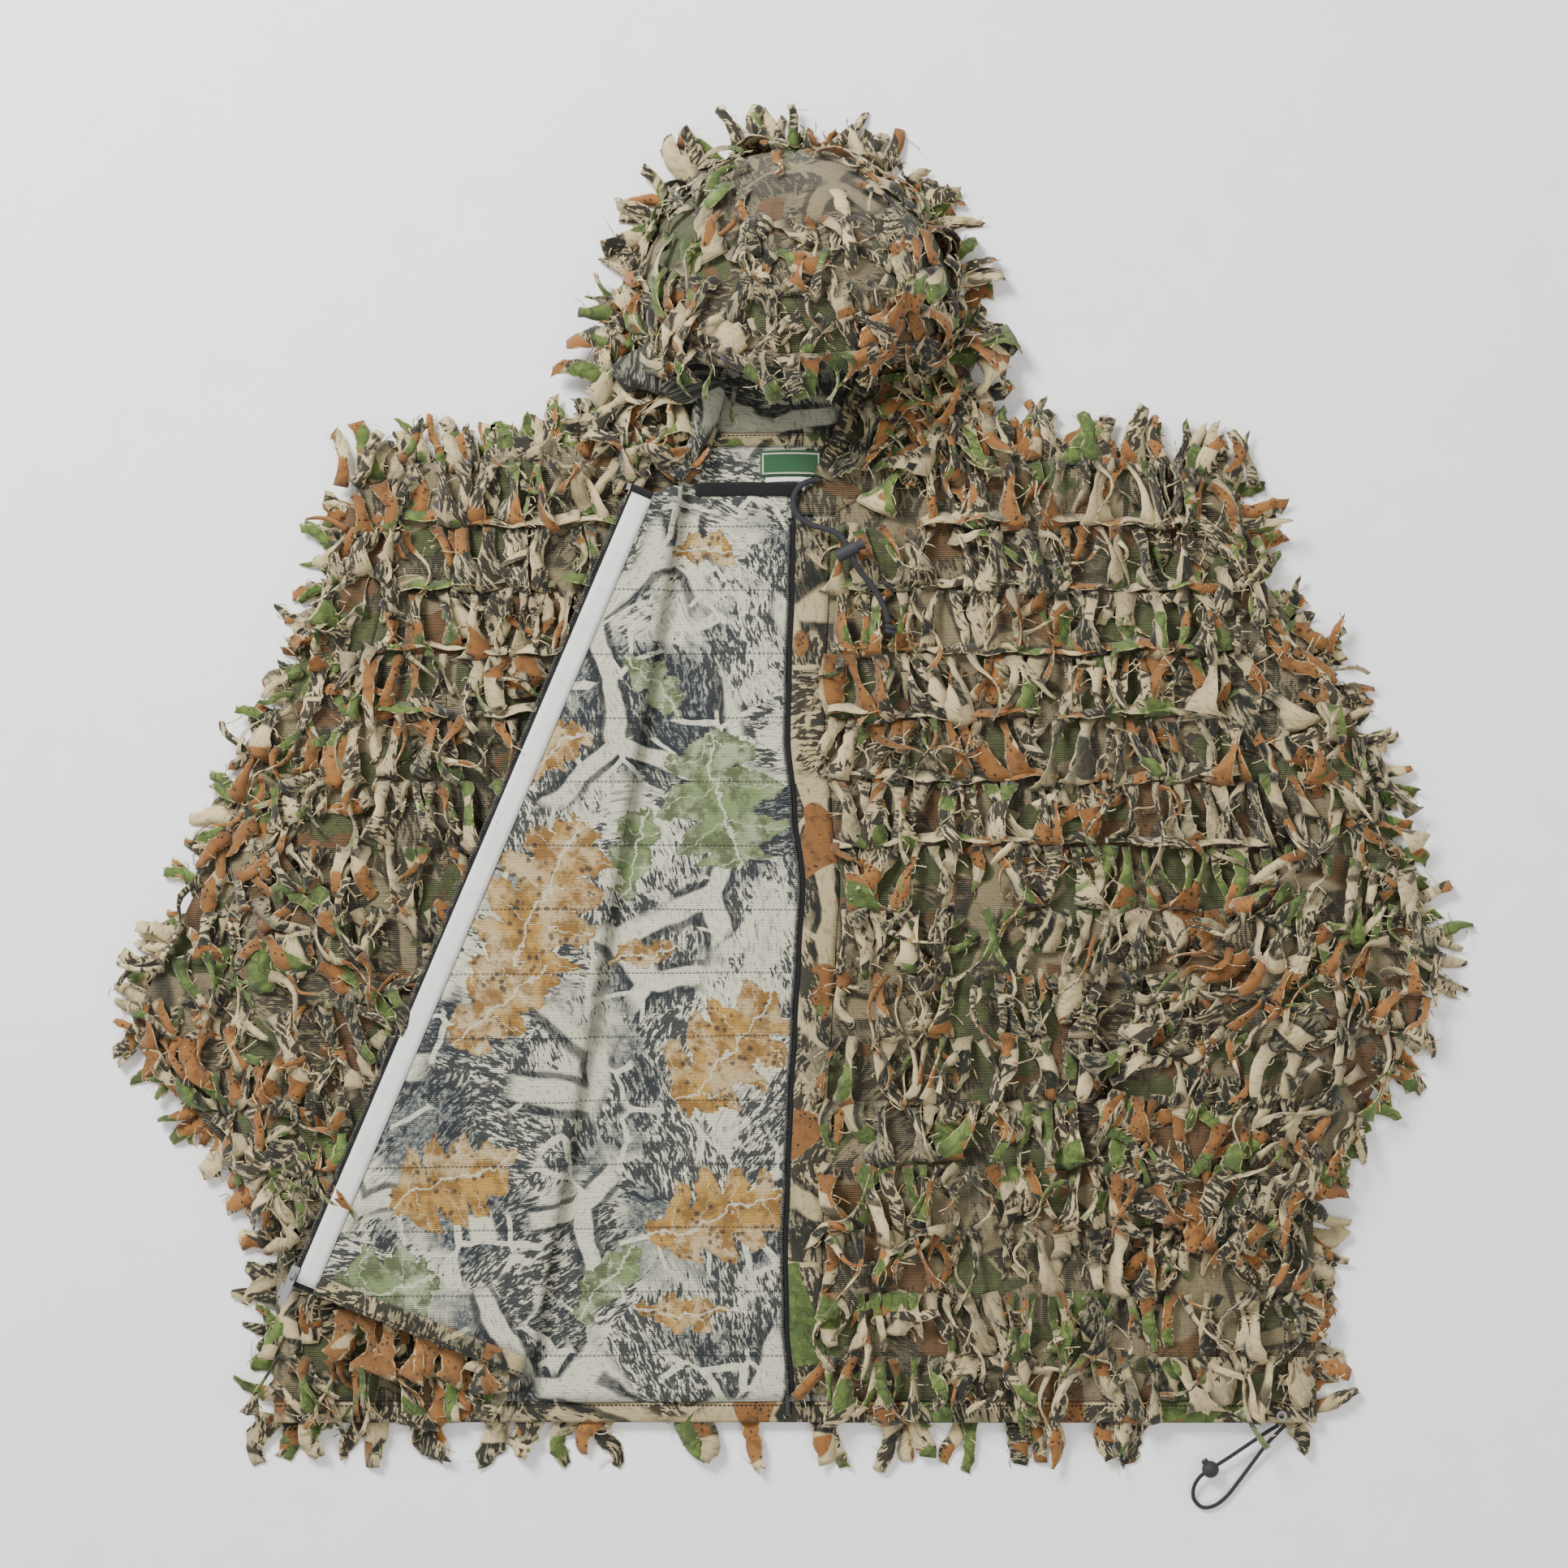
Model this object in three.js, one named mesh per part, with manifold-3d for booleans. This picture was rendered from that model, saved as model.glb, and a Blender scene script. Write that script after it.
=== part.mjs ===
// A hooded, leafy camouflage jacket from a ghillie suit, laid flat on its back and opened at the
// front. Rows of sewn leaf strips cover every outer face. The wearer's right front is folded
// outwards along a slanted crease and shows its pale reverse side.
//
// Millimetres, +Z up. +X is the wearer's left, +Y runs from the hem to the hood. The garment
// rests on the plane z = 0 and the origin is under the middle of its bounding box.

import * as THREE from 'three';
import { mergeVertices } from 'three/addons/utils/BufferGeometryUtils.js';
import Module from 'manifold-3d';

const wasm = await Module();
wasm.setup();

// ---------------------------------------------------------------- driving dimensions

const GAP = 0.3; // clearance between pieces that touch
const CLOTH = 1.5; // one cloth panel with its turnings
const UNDER_LEAF = 6; // leaf strips pressed under the garment
const PRESSED_LEAF = 5; // leaf strips pressed between two layers
const LEAF_DEPTH = 14; // leaf strips standing free on a front face
const ROW_PITCH = 47; // from one sewn row of strips to the next
const LEAF_OVERHANG = 10; // strips reaching past the edge of their cloth

const BODY_HALF = 384; // half the width at the hem
const UNDERARM = [BODY_HALF - 8, -54];
const SHOULDER = [BODY_HALF - 96, 231];
const NECK_SIDE = [132, 249];
const HEM_Y = -474;
const HEM_BAND = 15; // turned-up hem
const FRINGE_LENGTH = 26; // strips hanging past the hem

const ZIP_TOP_Y = 192;
const TAPE_HALF = 6; // half the visible width of the left zip tape
const TAPE_THICK = 1;
const COIL_SIZE = 2.4; // coil height and width
const PLACKET_WIDTH = 16;

const FOLD_BOTTOM = [-195, HEM_Y + 33]; // the crease of the opened right front
const FOLD_TOP = [-82, 216];
const FLAP_BOTTOM_WIDTH = 167; // from the crease to the zip edge, at the hem
const FLAP_BOTTOM_RISE = 38;
const FLAP_TOP_WIDTH = 21;
const FLAP_TOP_DROP = 9.65; // from the crease's upper end down to the zip's
const FLAP_TILT = THREE.MathUtils.degToRad(5); // the zip edge rests on the sleeve
const FACING_WIDTH = 15; // light facing tape beside the zip
const FLAP_TAPE_WIDTH = 17;

const SLEEVE_THICK = 4; // both layers of a sleeve pressed flat
const SLEEVE_SLOT = 0.8; // the space left between the two layers
const SLEEVE_SEAM = 8; // closed width along a sleeve's long seams
const CUFF_WIDTH = 26;

const HOOD_Y = 350; // middle of the crown
const HOOD_HALF_WIDTH = 116;
const HOOD_HALF_LENGTH = 112;
const HOOD_HEIGHT = 88;
const HOOD_LEAF = 22;
const BRIM_FOOT_Y = 330;
const BRIM_LEAN = THREE.MathUtils.degToRad(24.5);
const BRIM_CASING = 14;

const HOOD_CORD_DIAMETER = 4.5;
const HEM_CORD_DIAMETER = 3;

// Heights of the layers that lie on each other, from the ground up.
const BACK_Z = UNDER_LEAF + GAP;
const FRONT_Z = BACK_Z + CLOTH + GAP;
const LEAF_Z = FRONT_Z + CLOTH + GAP;
const BODY_LIFT = LEAF_Z + PRESSED_LEAF + GAP; // where a layer starts that lies on the body

// ---------------------------------------------------------------- materials

function finish(color, roughness = 0.9, metalness = 0) {
  return new THREE.MeshStandardMaterial({ color, roughness, metalness });
}
const material = {
  lining: finish(0xc9c5ae),
  camouflage: finish(0x6b6848),
  leaf: finish(0x8a7a52),
  rustLeaf: finish(0xa1663a),
  hem: finish(0x83704a),
  blackTape: finish(0x1d1f20, 0.8),
  coil: finish(0x2e2e2d, 0.5),
  facing: finish(0xf2f2ee),
  label: finish(0x2f5a38),
  whiteTape: finish(0xe9e9e4),
  metal: finish(0x8d8f90, 0.35, 1),
  plastic: finish(0x17181a, 0.45),
  cord: finish(0x1b1c1d, 0.85),
  spring: finish(0xb5b7b8, 0.3, 1),
};

// ---------------------------------------------------------------- helpers

// A closed three.js geometry as a solid that can be joined and cut.
function solid(geometry) {
  const bare = geometry.clone();
  bare.deleteAttribute('normal');
  bare.deleteAttribute('uv');
  const merged = mergeVertices(bare, 1e-4);
  const vertProperties = merged.attributes.position.array;
  const triVerts = new Uint32Array(merged.index.array);
  return new wasm.Manifold(new wasm.Mesh({ numProp: 3, vertProperties, triVerts }));
}

function geometryOf(manifold) {
  const mesh = manifold.getMesh();
  const geometry = new THREE.BufferGeometry();
  geometry.setAttribute('position', new THREE.BufferAttribute(mesh.vertProperties, 3));
  geometry.setIndex(new THREE.BufferAttribute(mesh.triVerts, 1));
  const loose = geometry.toNonIndexed();
  loose.computeVertexNormals();
  return loose;
}

// An upright slab over a list of [x, y] points.
function prism(points, z0, z1) {
  const shape = new THREE.Shape(points.map(([x, y]) => new THREE.Vector2(x, y)));
  const slab = new THREE.ExtrudeGeometry(shape, { depth: z1 - z0, bevelEnabled: false });
  return slab.translate(0, 0, z0);
}

function box(x0, x1, y0, y1, z0, z1) {
  const block = new THREE.BoxGeometry(x1 - x0, y1 - y0, z1 - z0);
  return block.translate((x0 + x1) / 2, (y0 + y1) / 2, (z0 + z1) / 2);
}

const mirrored = (points) => points.map(([x, y]) => [-x, y]);

// An open line of points moved sideways, to the right of its direction, by a distance.
function besides(points, distance) {
  return points.map(([x, y], i) => {
    const [ax, ay] = points[Math.max(i - 1, 0)];
    const [bx, by] = points[Math.min(i + 1, points.length - 1)];
    const length = Math.hypot(bx - ax, by - ay);
    return [x + ((by - ay) / length) * distance, y - ((bx - ax) / length) * distance];
  });
}

// A closed outline made larger all round by a distance.
function grown(points, distance) {
  const turn = THREE.ShapeUtils.area(points.map(([x, y]) => new THREE.Vector2(x, y))) > 0 ? 1 : -1;
  const closed = [points.at(-1), ...points, points[0]];
  return besides(closed, distance * turn).slice(1, -1);
}

// A cloth layer between two height functions, over a grid of lines along X and Y.
function quilt(xs, ys, bottom, top) {
  const positions = [];
  for (const height of [bottom, top]) {
    for (const y of ys) for (const x of xs) positions.push(x, y, height(x, y));
  }
  const wide = xs.length;
  const layer = wide * ys.length;
  const index = [];
  const quad = (a, b, c, d) => index.push(a, b, c, a, c, d);
  for (let j = 0; j < ys.length - 1; j++) {
    for (let i = 0; i < wide - 1; i++) {
      const a = j * wide + i;
      quad(a, a + wide, a + wide + 1, a + 1);
      quad(layer + a, layer + a + 1, layer + a + wide + 1, layer + a + wide);
    }
  }
  const rim = [];
  for (let i = 0; i < wide - 1; i++) rim.push(i);
  for (let j = 0; j < ys.length - 1; j++) rim.push(j * wide + wide - 1);
  for (let i = wide - 1; i > 0; i--) rim.push((ys.length - 1) * wide + i);
  for (let j = ys.length - 1; j > 0; j--) rim.push(j * wide);
  rim.forEach((a, k) => {
    const b = rim[(k + 1) % rim.length];
    quad(a, b, layer + b, layer + a);
  });
  const geometry = new THREE.BufferGeometry();
  geometry.setAttribute('position', new THREE.Float32BufferAttribute(positions, 3));
  geometry.setIndex(index);
  return geometry;
}

const garment = new THREE.Group();

function piece(name, geometry, look, parent = garment) {
  const mesh = new THREE.Mesh(geometry, look);
  mesh.name = name;
  parent.add(mesh);
  return mesh;
}

// ---------------------------------------------------------------- rows of leaf strips

const ROW_STEP = 1; // the short drop between one row's strip ends and the next row's seam

// Lines along Y where a row ends and the next begins, between two heights on the body.
function rowLines(y0, y1) {
  const lines = [y0];
  for (let y = HEM_Y + ROW_PITCH; y < y1 - ROW_STEP; y += ROW_PITCH) {
    if (y > y0 + ROW_STEP) lines.push(y - ROW_STEP, y);
  }
  lines.push(y1);
  return lines;
}

// Strips lie thin at their seam, the top of a row, and pile up towards their lower ends.
function rowDepth(y) {
  const along = (((y - HEM_Y) % ROW_PITCH) + ROW_PITCH) % ROW_PITCH;
  const atSeam = along > ROW_PITCH - ROW_STEP - 0.01;
  return LEAF_DEPTH * (atSeam ? 0.5 : 1 - 0.4 * (along / ROW_PITCH));
}

// Free-standing rows over a front outline, left out where other layers lie on it.
function frontLeafRows(outline, covers) {
  const xs = [-BODY_HALF - 1, BODY_HALF + 1];
  const ys = rowLines(HEM_Y - 1, NECK_SIDE[1] + 1);
  const rows = solid(quilt(xs, ys, () => LEAF_Z, (x, y) => LEAF_Z + rowDepth(y)));
  const pressed = solid(prism(outline, LEAF_Z, LEAF_Z + PRESSED_LEAF));
  let raised = rows.intersect(solid(prism(outline, 0, BODY_LIFT + LEAF_DEPTH)));
  for (const cover of covers) {
    raised = raised.subtract(solid(prism(cover, LEAF_Z + PRESSED_LEAF, BODY_LIFT + 2 * LEAF_DEPTH)));
  }
  return geometryOf(raised.add(pressed));
}

// ---------------------------------------------------------------- outlines of the body

const ARMHOLE_BOW = [BODY_HALF - 78, 60];
const ARMHOLE_STEPS = 4;

// The left armhole from the underarm up to the shoulder.
const armhole = new THREE.QuadraticBezierCurve(
  new THREE.Vector2(...UNDERARM),
  new THREE.Vector2(...ARMHOLE_BOW),
  new THREE.Vector2(...SHOULDER),
)
  .getPoints(ARMHOLE_STEPS)
  .map((p) => [p.x, p.y]);

// The side of the body from a height near the hem, over the armhole, to the side of the neck.
const sideFrom = (y) => [[BODY_HALF, y], ...armhole, NECK_SIDE];

const bandTop = HEM_Y + HEM_BAND;

function buildBack() {
  const whole = [...sideFrom(HEM_Y), ...mirrored(sideFrom(HEM_Y)).reverse()];
  const cloth = [...sideFrom(bandTop + GAP), ...mirrored(sideFrom(bandTop + GAP)).reverse()];
  piece('back_leaf_rows', prism(whole, 0, UNDER_LEAF), material.leaf);
  piece('back_panel', prism(cloth, BACK_Z, BACK_Z + CLOTH), material.lining);
  piece('back_hem', box(-BODY_HALF, BODY_HALF, HEM_Y, bandTop, BACK_Z, BACK_Z + CLOTH), material.hem);
}

// One comb of strips hanging past the hem, with no teeth where the hem cord lies.
function buildFringe() {
  const header = 4;
  const toothWidth = 20;
  const toothPitch = 40;
  const cordSide = [BODY_HALF - 104, BODY_HALF - 12];
  const top = HEM_Y - GAP;
  const outline = [[-BODY_HALF, top], [BODY_HALF, top], [BODY_HALF, top - header]];
  const count = Math.floor((2 * BODY_HALF - toothWidth) / toothPitch);
  for (let i = 0; i <= count; i++) {
    const x = BODY_HALF - toothPitch * i - toothWidth / 2;
    if (x + toothWidth / 2 > cordSide[0] && x - toothWidth / 2 < cordSide[1]) continue;
    const end = top - FRINGE_LENGTH - 5 * Math.sin(2.3 * i);
    outline.push([x + toothWidth / 2, top - header], [x + toothWidth / 4, end]);
    outline.push([x - toothWidth / 3, end + 4], [x - toothWidth / 2, top - header]);
  }
  outline.push([-BODY_HALF, top - header]);
  piece('hem_fringe', prism(outline, 0, PRESSED_LEAF), material.rustLeaf);
}

// ---------------------------------------------------------------- left front and its zip half

// The opened zip wavers a little: its middle line as x at even steps from the hem to the top.
const ZIP_WAVER = [2, -2, -3, -1, 1, 4, 7, 10, 4, -1, 0, 2, 3];
const zipBottomY = HEM_Y + 21;
const zipCurve = new THREE.SplineCurve(
  ZIP_WAVER.map(
    (x, i) => new THREE.Vector2(x, zipBottomY + ((ZIP_TOP_Y - zipBottomY) * i) / (ZIP_WAVER.length - 1)),
  ),
);
const zipLine = zipCurve.getPoints(24).map((p) => [p.x, p.y]);

// A band that follows the zip between two distances to its right.
function zipBand(from, to) {
  const side = (distance) => zipLine.map(([x, y]) => [x + distance, y]);
  return [...side(from), ...side(to).reverse()];
}

const plackLeft = TAPE_HALF + GAP;
const panelLeft = plackLeft + PLACKET_WIDTH + GAP;
const NECK_FRONT_Y = ZIP_TOP_Y + 12;

function leftFrontOutline(inset, bottom) {
  const edge = zipLine.map(([x, y]) => [x + panelLeft + inset, y]).filter(([, y]) => y > bottom + 1);
  const first = [zipLine[0][0] + panelLeft + inset, bottom];
  return [first, ...edge, [panelLeft + 4, NECK_FRONT_Y], ...sideFrom(bottom).reverse()];
}

function buildLeftFront() {
  const cloth = leftFrontOutline(0, bandTop + GAP);
  piece('left_front_panel', prism(cloth, FRONT_Z, FRONT_Z + CLOTH), material.camouflage);
  const placket = prism(zipBand(plackLeft, plackLeft + PLACKET_WIDTH), FRONT_Z, FRONT_Z + CLOTH);
  piece('left_front_placket', placket, material.camouflage);
  const hemLeft = zipLine[0][0] + panelLeft;
  const hem = box(hemLeft, BODY_HALF, HEM_Y, bandTop, FRONT_Z, FRONT_Z + CLOTH);
  piece('left_front_hem', hem, material.hem);
  const covers = [grown(sleeveOutline(left, 0, -4), 1.5)];
  const rows = frontLeafRows(leftFrontOutline(2, bandTop + GAP), covers);
  piece('left_front_leaf_rows', rows, material.leaf);

  const tape = prism(zipBand(-TAPE_HALF, TAPE_HALF), FRONT_Z, FRONT_Z + TAPE_THICK);
  piece('left_zip_tape', tape, material.blackTape);
  const coilLeft = -TAPE_HALF - GAP - COIL_SIZE;
  const coil = prism(zipBand(coilLeft, -TAPE_HALF - GAP), FRONT_Z, FRONT_Z + COIL_SIZE);
  piece('left_zip_coil', coil, material.coil);
  const stop = [coilLeft - 0.6, coilLeft + COIL_SIZE + 0.2];
  const [topX, topY] = zipLine.at(-1);
  const top = box(topX + stop[0], topX + stop[1], topY + GAP, topY + 5, FRONT_Z, FRONT_Z + COIL_SIZE + 0.6);
  piece('left_zip_top_stop', top, material.metal);
  const [endX, endY] = zipLine[0];
  const pin = box(endX + stop[0], endX + stop[1], endY - 16, endY - GAP, FRONT_Z, FRONT_Z + COIL_SIZE);
  piece('left_zip_pin', pin, material.plastic);
}

// ---------------------------------------------------------------- sleeves

// Each sleeve runs down beside the body and its forearm comes back over the front.
// All points are offsets from the underarm, for the wearer's left; the right one is mirrored.
const left = {
  side: 1,
  outer: [
    [-52, 268], [-30, 198], [30, 108], [50, 54], [74, -24], [96, -69], [78, -132], [45, -182], [8, -232],
  ],
  cuffOuter: [-40, -296],
  cuffInner: [-133, -262],
  inner: [[-152, -196], [-118, -106]],
};
const right = {
  side: -1,
  outer: [[-52, 268], [-2, 114], [50, 4], [92, -84], [112, -124], [62, -196], [10, -252]],
  cuffOuter: [-22, -296],
  cuffInner: [-66, -286],
  inner: [[-78, -196], [-86, -110]],
};

const fromUnderarm = ([x, y]) => [UNDERARM[0] + x, UNDERARM[1] + y];

// A point on the way from the cuff's end towards the arm, at a distance from the end.
function upTheArm(arm, end, distance) {
  const middle = (a, b) => new THREE.Vector2(...a).add(new THREE.Vector2(...b)).divideScalar(2);
  const cuff = middle(arm.cuffInner, arm.cuffOuter);
  const elbow = middle(arm.inner[0], arm.outer.at(-2));
  const way = elbow.sub(cuff).normalize().multiplyScalar(distance);
  return [end[0] + way.x, end[1] + way.y];
}

// The flat outline of a sleeve: overhang widens its long edges, and cuffCut shortens its end.
function sleeveOutline(arm, overhang, cuffCut = CUFF_WIDTH) {
  const outerEnd = upTheArm(arm, arm.cuffOuter, cuffCut);
  const innerEnd = upTheArm(arm, arm.cuffInner, cuffCut);
  const outer = besides([...arm.outer, outerEnd].map(fromUnderarm), -overhang);
  const inner = besides([innerEnd, ...arm.inner].map(fromUnderarm), -overhang);
  const seam = besides(armhole, GAP + 0.2);
  return [...seam, ...outer, ...inner];
}

const LIFT_X = [BODY_HALF + 3, BODY_HALF + 32]; // a sleeve comes down to the ground between these
const LIFT_Y = [UNDERARM[1] + 2, UNDERARM[1] + 16]; // and beside the armhole between these

const between = (value, from, to) => THREE.MathUtils.clamp((value - from) / (to - from), 0, 1);

function lift(x, y) {
  return BODY_LIFT * (1 - between(x, ...LIFT_X)) * (1 - between(y, ...LIFT_Y));
}

// A sleeve layer over an outline, draped over the side of the body.
function sleeveLayer(arm, outline, low, high, rows = false) {
  const xs = [0, ...LIFT_X, 2 * BODY_HALF];
  const low0 = HEM_Y - 40;
  const high0 = NECK_SIDE[1] + 40;
  // The ramp has the same lines in every layer, so that the layers lie evenly on each other.
  const inRamp = ([y0, y1], y) => y === low0 || y === high0 || (y > y0 && y < y1);
  const ys = rowLines(low0, high0).filter((y) => rows || inRamp(LIFT_Y, y));
  const lines = [...new Set([...ys, ...LIFT_Y])].sort((a, b) => a - b);
  const depth = (y) => (rows ? rowDepth(y) - LEAF_DEPTH : 0);
  const layer = quilt(xs, lines, (x, y) => lift(x, y) + low, (x, y) => lift(x, y) + high + depth(y));
  const cut = solid(layer).intersect(solid(prism(outline, -1, 200)));
  return arm.side > 0 ? cut : cut.mirror([1, 0, 0]);
}

function buildSleeve(name, arm, leafInset) {
  const cloth = sleeveOutline(arm, 0);
  const clothLow = BACK_Z;
  const clothHigh = clothLow + SLEEVE_THICK;
  const slotLow = clothLow + (SLEEVE_THICK - SLEEVE_SLOT) / 2;
  const slotLine = grown(sleeveOutline(arm, 0, -CUFF_WIDTH), -SLEEVE_SEAM);
  const slot = sleeveLayer(arm, slotLine, slotLow, slotLow + SLEEVE_SLOT);
  const tube = sleeveLayer(arm, cloth, clothLow, clothHigh).subtract(slot);
  piece(`${name}_sleeve`, geometryOf(tube), material.camouflage);

  const under = sleeveLayer(arm, grown(cloth, -0.5), 0, UNDER_LEAF);
  piece(`${name}_sleeve_under_leaf_rows`, geometryOf(under), material.leaf);

  const overLow = clothHigh + GAP;
  const overLine = sleeveOutline(arm, LEAF_OVERHANG);
  let over = sleeveLayer(arm, overLine, overLow, overLow + LEAF_DEPTH, true);
  if (leafInset) over = over.subtract(solid(prism(leafInset, 0, 300)));
  piece(`${name}_sleeve_leaf_rows`, geometryOf(over), material.rustLeaf);

  const nearOuter = upTheArm(arm, arm.cuffOuter, CUFF_WIDTH - GAP);
  const nearInner = upTheArm(arm, arm.cuffInner, CUFF_WIDTH - GAP);
  const cuffLine = [arm.cuffOuter, arm.cuffInner, nearInner, nearOuter].map(fromUnderarm);
  const cuff = sleeveLayer(arm, cuffLine, clothLow, clothHigh).subtract(slot);
  piece(`${name}_cuff`, geometryOf(cuff), material.hem);
}

// ---------------------------------------------------------------- the crease and the right front

const foldBottom = new THREE.Vector2(...FOLD_BOTTOM);
const foldAlong = new THREE.Vector2(...FOLD_TOP).sub(foldBottom);
const FOLD_LENGTH = foldAlong.length();
foldAlong.normalize();
const foldAcross = new THREE.Vector2(foldAlong.y, -foldAlong.x);
const FOLD_ANGLE = Math.atan2(foldAlong.x, foldAlong.y);

const flapLeafLow = BODY_LIFT;
const flapClothLow = flapLeafLow + PRESSED_LEAF + GAP;
const FOLD_Z = (FRONT_Z + flapClothLow + CLOTH) / 2; // height of the crease's own axis
const FOLD_RADIUS = (flapClothLow - FRONT_Z) / 2; // of the cloth's middle as it turns over

const TURN_TAIL = 2 * FOLD_RADIUS; // the flat cloth that a turn of the crease joins
// The crease's axis runs along the outside of the turn, so that the cloth opens away from itself.
const turnStart = -FOLD_RADIUS - CLOTH / 2; // where the flat cloth begins, across from the axis

// From the crease's own frame, across and along it, to the garment's.
function fromFold([u, v]) {
  return [
    foldBottom.x + foldAcross.x * u + foldAlong.x * v,
    foldBottom.y + foldAcross.y * u + foldAlong.y * v,
  ];
}

// A quarter turn of cloth along the crease, in the crease's frame: up from below, or down from above.
function quarterTurn(fromAbove, v0, v1) {
  const outer = FOLD_RADIUS + CLOTH / 2;
  const inner = FOLD_RADIUS - CLOTH / 2;
  const clear = GAP / FOLD_RADIUS / 2;
  const [from, to] = fromAbove ? [clear, Math.PI / 2] : [-Math.PI / 2, -clear];
  const tail = TURN_TAIL;
  const shape = new THREE.Shape();
  if (fromAbove) {
    shape.absarc(0, 0, outer, from, to, false);
    shape.lineTo(-tail, outer);
    shape.lineTo(-tail, inner);
    shape.absarc(0, 0, inner, to, from, true);
  } else {
    shape.moveTo(-tail, -outer);
    shape.absarc(0, 0, outer, from, to, false);
    shape.absarc(0, 0, inner, to, from, true);
    shape.lineTo(-tail, -inner);
  }
  const turn = new THREE.ExtrudeGeometry(shape, { depth: v1 - v0, bevelEnabled: false, curveSegments: 4 });
  // The section's plane is across and up, so the extrusion turns to run along the crease.
  return turn.rotateX(Math.PI / 2).translate(turnStart, v1, 0);
}

const creaseFrame = new THREE.Group();
creaseFrame.position.set(foldBottom.x, foldBottom.y, FOLD_Z);
creaseFrame.rotation.set(0, 0, -FOLD_ANGLE);
creaseFrame.updateMatrix();

// The flap's outline in the crease's frame, as its four corners.
const flapCorner = {
  hemZip: [-FLAP_BOTTOM_WIDTH, FLAP_BOTTOM_RISE],
  neckZip: [-FLAP_TOP_WIDTH, FOLD_LENGTH - FLAP_TOP_DROP],
};

// The strip of the right front under the flap and the slider's way, in the garment's frame.
function flapShadow() {
  const reach = FLAP_TAPE_WIDTH + 14;
  const [hemU, hemV] = flapCorner.hemZip;
  const [neckU, neckV] = flapCorner.neckZip;
  const far = neckV + 40;
  const corners = [[20, -40], [turnStart, -4], [hemU - reach, hemV - 24], [neckU - reach, far], [20, far]];
  return corners.map(fromFold);
}

function rightFrontOutline(inset, bottom) {
  const foldTopFlat = fromFold([turnStart - inset, FOLD_LENGTH]);
  const foldBottomFlat = fromFold([turnStart - inset, 0]);
  const side = mirrored(sideFrom(bottom)).reverse();
  return [foldBottomFlat, foldTopFlat, ...side, [foldBottomFlat[0] - 45, bottom]];
}

function buildRightFront() {
  const flat = prism(rightFrontOutline(0, bandTop + GAP), FRONT_Z, FRONT_Z + CLOTH);
  const turn = quarterTurn(false, 0, FOLD_LENGTH).applyMatrix4(creaseFrame.matrix);
  const neckCut = solid(prism(neckSide(mirrored([NECK_SIDE])[0], fromFold([0, FOLD_LENGTH])), 0, 60));
  const cloth = solid(flat).add(solid(turn)).subtract(neckCut);
  piece('right_front_panel', geometryOf(cloth), material.camouflage);
  const hemRight = fromFold([turnStart, 0])[0] - 45;
  const hem = box(-BODY_HALF, hemRight, HEM_Y, bandTop, FRONT_Z, FRONT_Z + CLOTH);
  piece('right_front_hem', hem, material.hem);
  const covers = [mirrored(grown(sleeveOutline(right, 0, -4), 1.5)), flapShadow()];
  const rows = frontLeafRows(rightFrontOutline(1, bandTop + GAP), covers);
  piece('right_front_leaf_rows', rows, material.leaf);
}

// A wedge above the line from the side of the neck to the top of the crease.
function neckSide(neck, fold) {
  return [neck, [neck[0], neck[1] + 60], [fold[0] + 20, neck[1] + 60], [fold[0] + 20, fold[1]], fold];
}

// ---------------------------------------------------------------- the opened flap and its zip half

const flap = new THREE.Group();
flap.position.copy(creaseFrame.position);
flap.rotation.set(0, FLAP_TILT, -FOLD_ANGLE, 'ZYX');
garment.add(flap);

const flapLow = FOLD_RADIUS - CLOTH / 2; // the flap's cloth, above the crease's axis

// A point on the line from the crease's foot to the zip corner, raised by a distance.
function onFlapHem(u, rise) {
  return [u, (FLAP_BOTTOM_RISE * u) / -FLAP_BOTTOM_WIDTH + rise];
}

function flapOutline(zipInset, foldInset, rise) {
  const topRise = FOLD_LENGTH - FLAP_TOP_DROP;
  const slope = (FLAP_BOTTOM_WIDTH - FLAP_TOP_WIDTH) / (topRise - FLAP_BOTTOM_RISE);
  const hemU = -FLAP_BOTTOM_WIDTH + zipInset + slope * rise;
  return [
    onFlapHem(turnStart - foldInset, rise),
    [turnStart - foldInset, FOLD_LENGTH - 2],
    [-FLAP_TOP_WIDTH + zipInset, topRise],
    onFlapHem(hemU, rise),
  ];
}

function buildFlap() {
  const flat = prism(flapOutline(0, 0, HEM_BAND + GAP), flapLow, flapLow + CLOTH);
  const turnFoot = onFlapHem(turnStart - TURN_TAIL, HEM_BAND + GAP)[1];
  const turn = quarterTurn(true, turnFoot, FOLD_LENGTH - 2);
  piece('flap_panel', geometryOf(solid(flat).add(solid(turn))), material.lining, flap);
  const hemLine = [
    onFlapHem(turnStart, 0),
    onFlapHem(turnStart, HEM_BAND),
    onFlapHem(flapOutline(0, 0, HEM_BAND)[3][0], HEM_BAND),
    flapCorner.hemZip,
  ];
  piece('flap_hem', prism(hemLine, flapLow, flapLow + CLOTH), material.hem, flap);
  const rows = prism(flapOutline(3, 1, 4), flapLow - GAP - PRESSED_LEAF, flapLow - GAP);
  piece('flap_leaf_rows', rows, material.leaf, flap);
}

// The frame of the zip edge: x runs to the right of the edge, into the flap, and y along it.
const zipEdge = new THREE.Group();
const edgeWay = new THREE.Vector2(...flapCorner.neckZip).sub(new THREE.Vector2(...flapCorner.hemZip));
const EDGE_LENGTH = edgeWay.length();
zipEdge.position.set(...flapCorner.hemZip, flapLow);
zipEdge.rotation.z = -Math.atan2(edgeWay.x, edgeWay.y);
flap.add(zipEdge);

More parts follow.
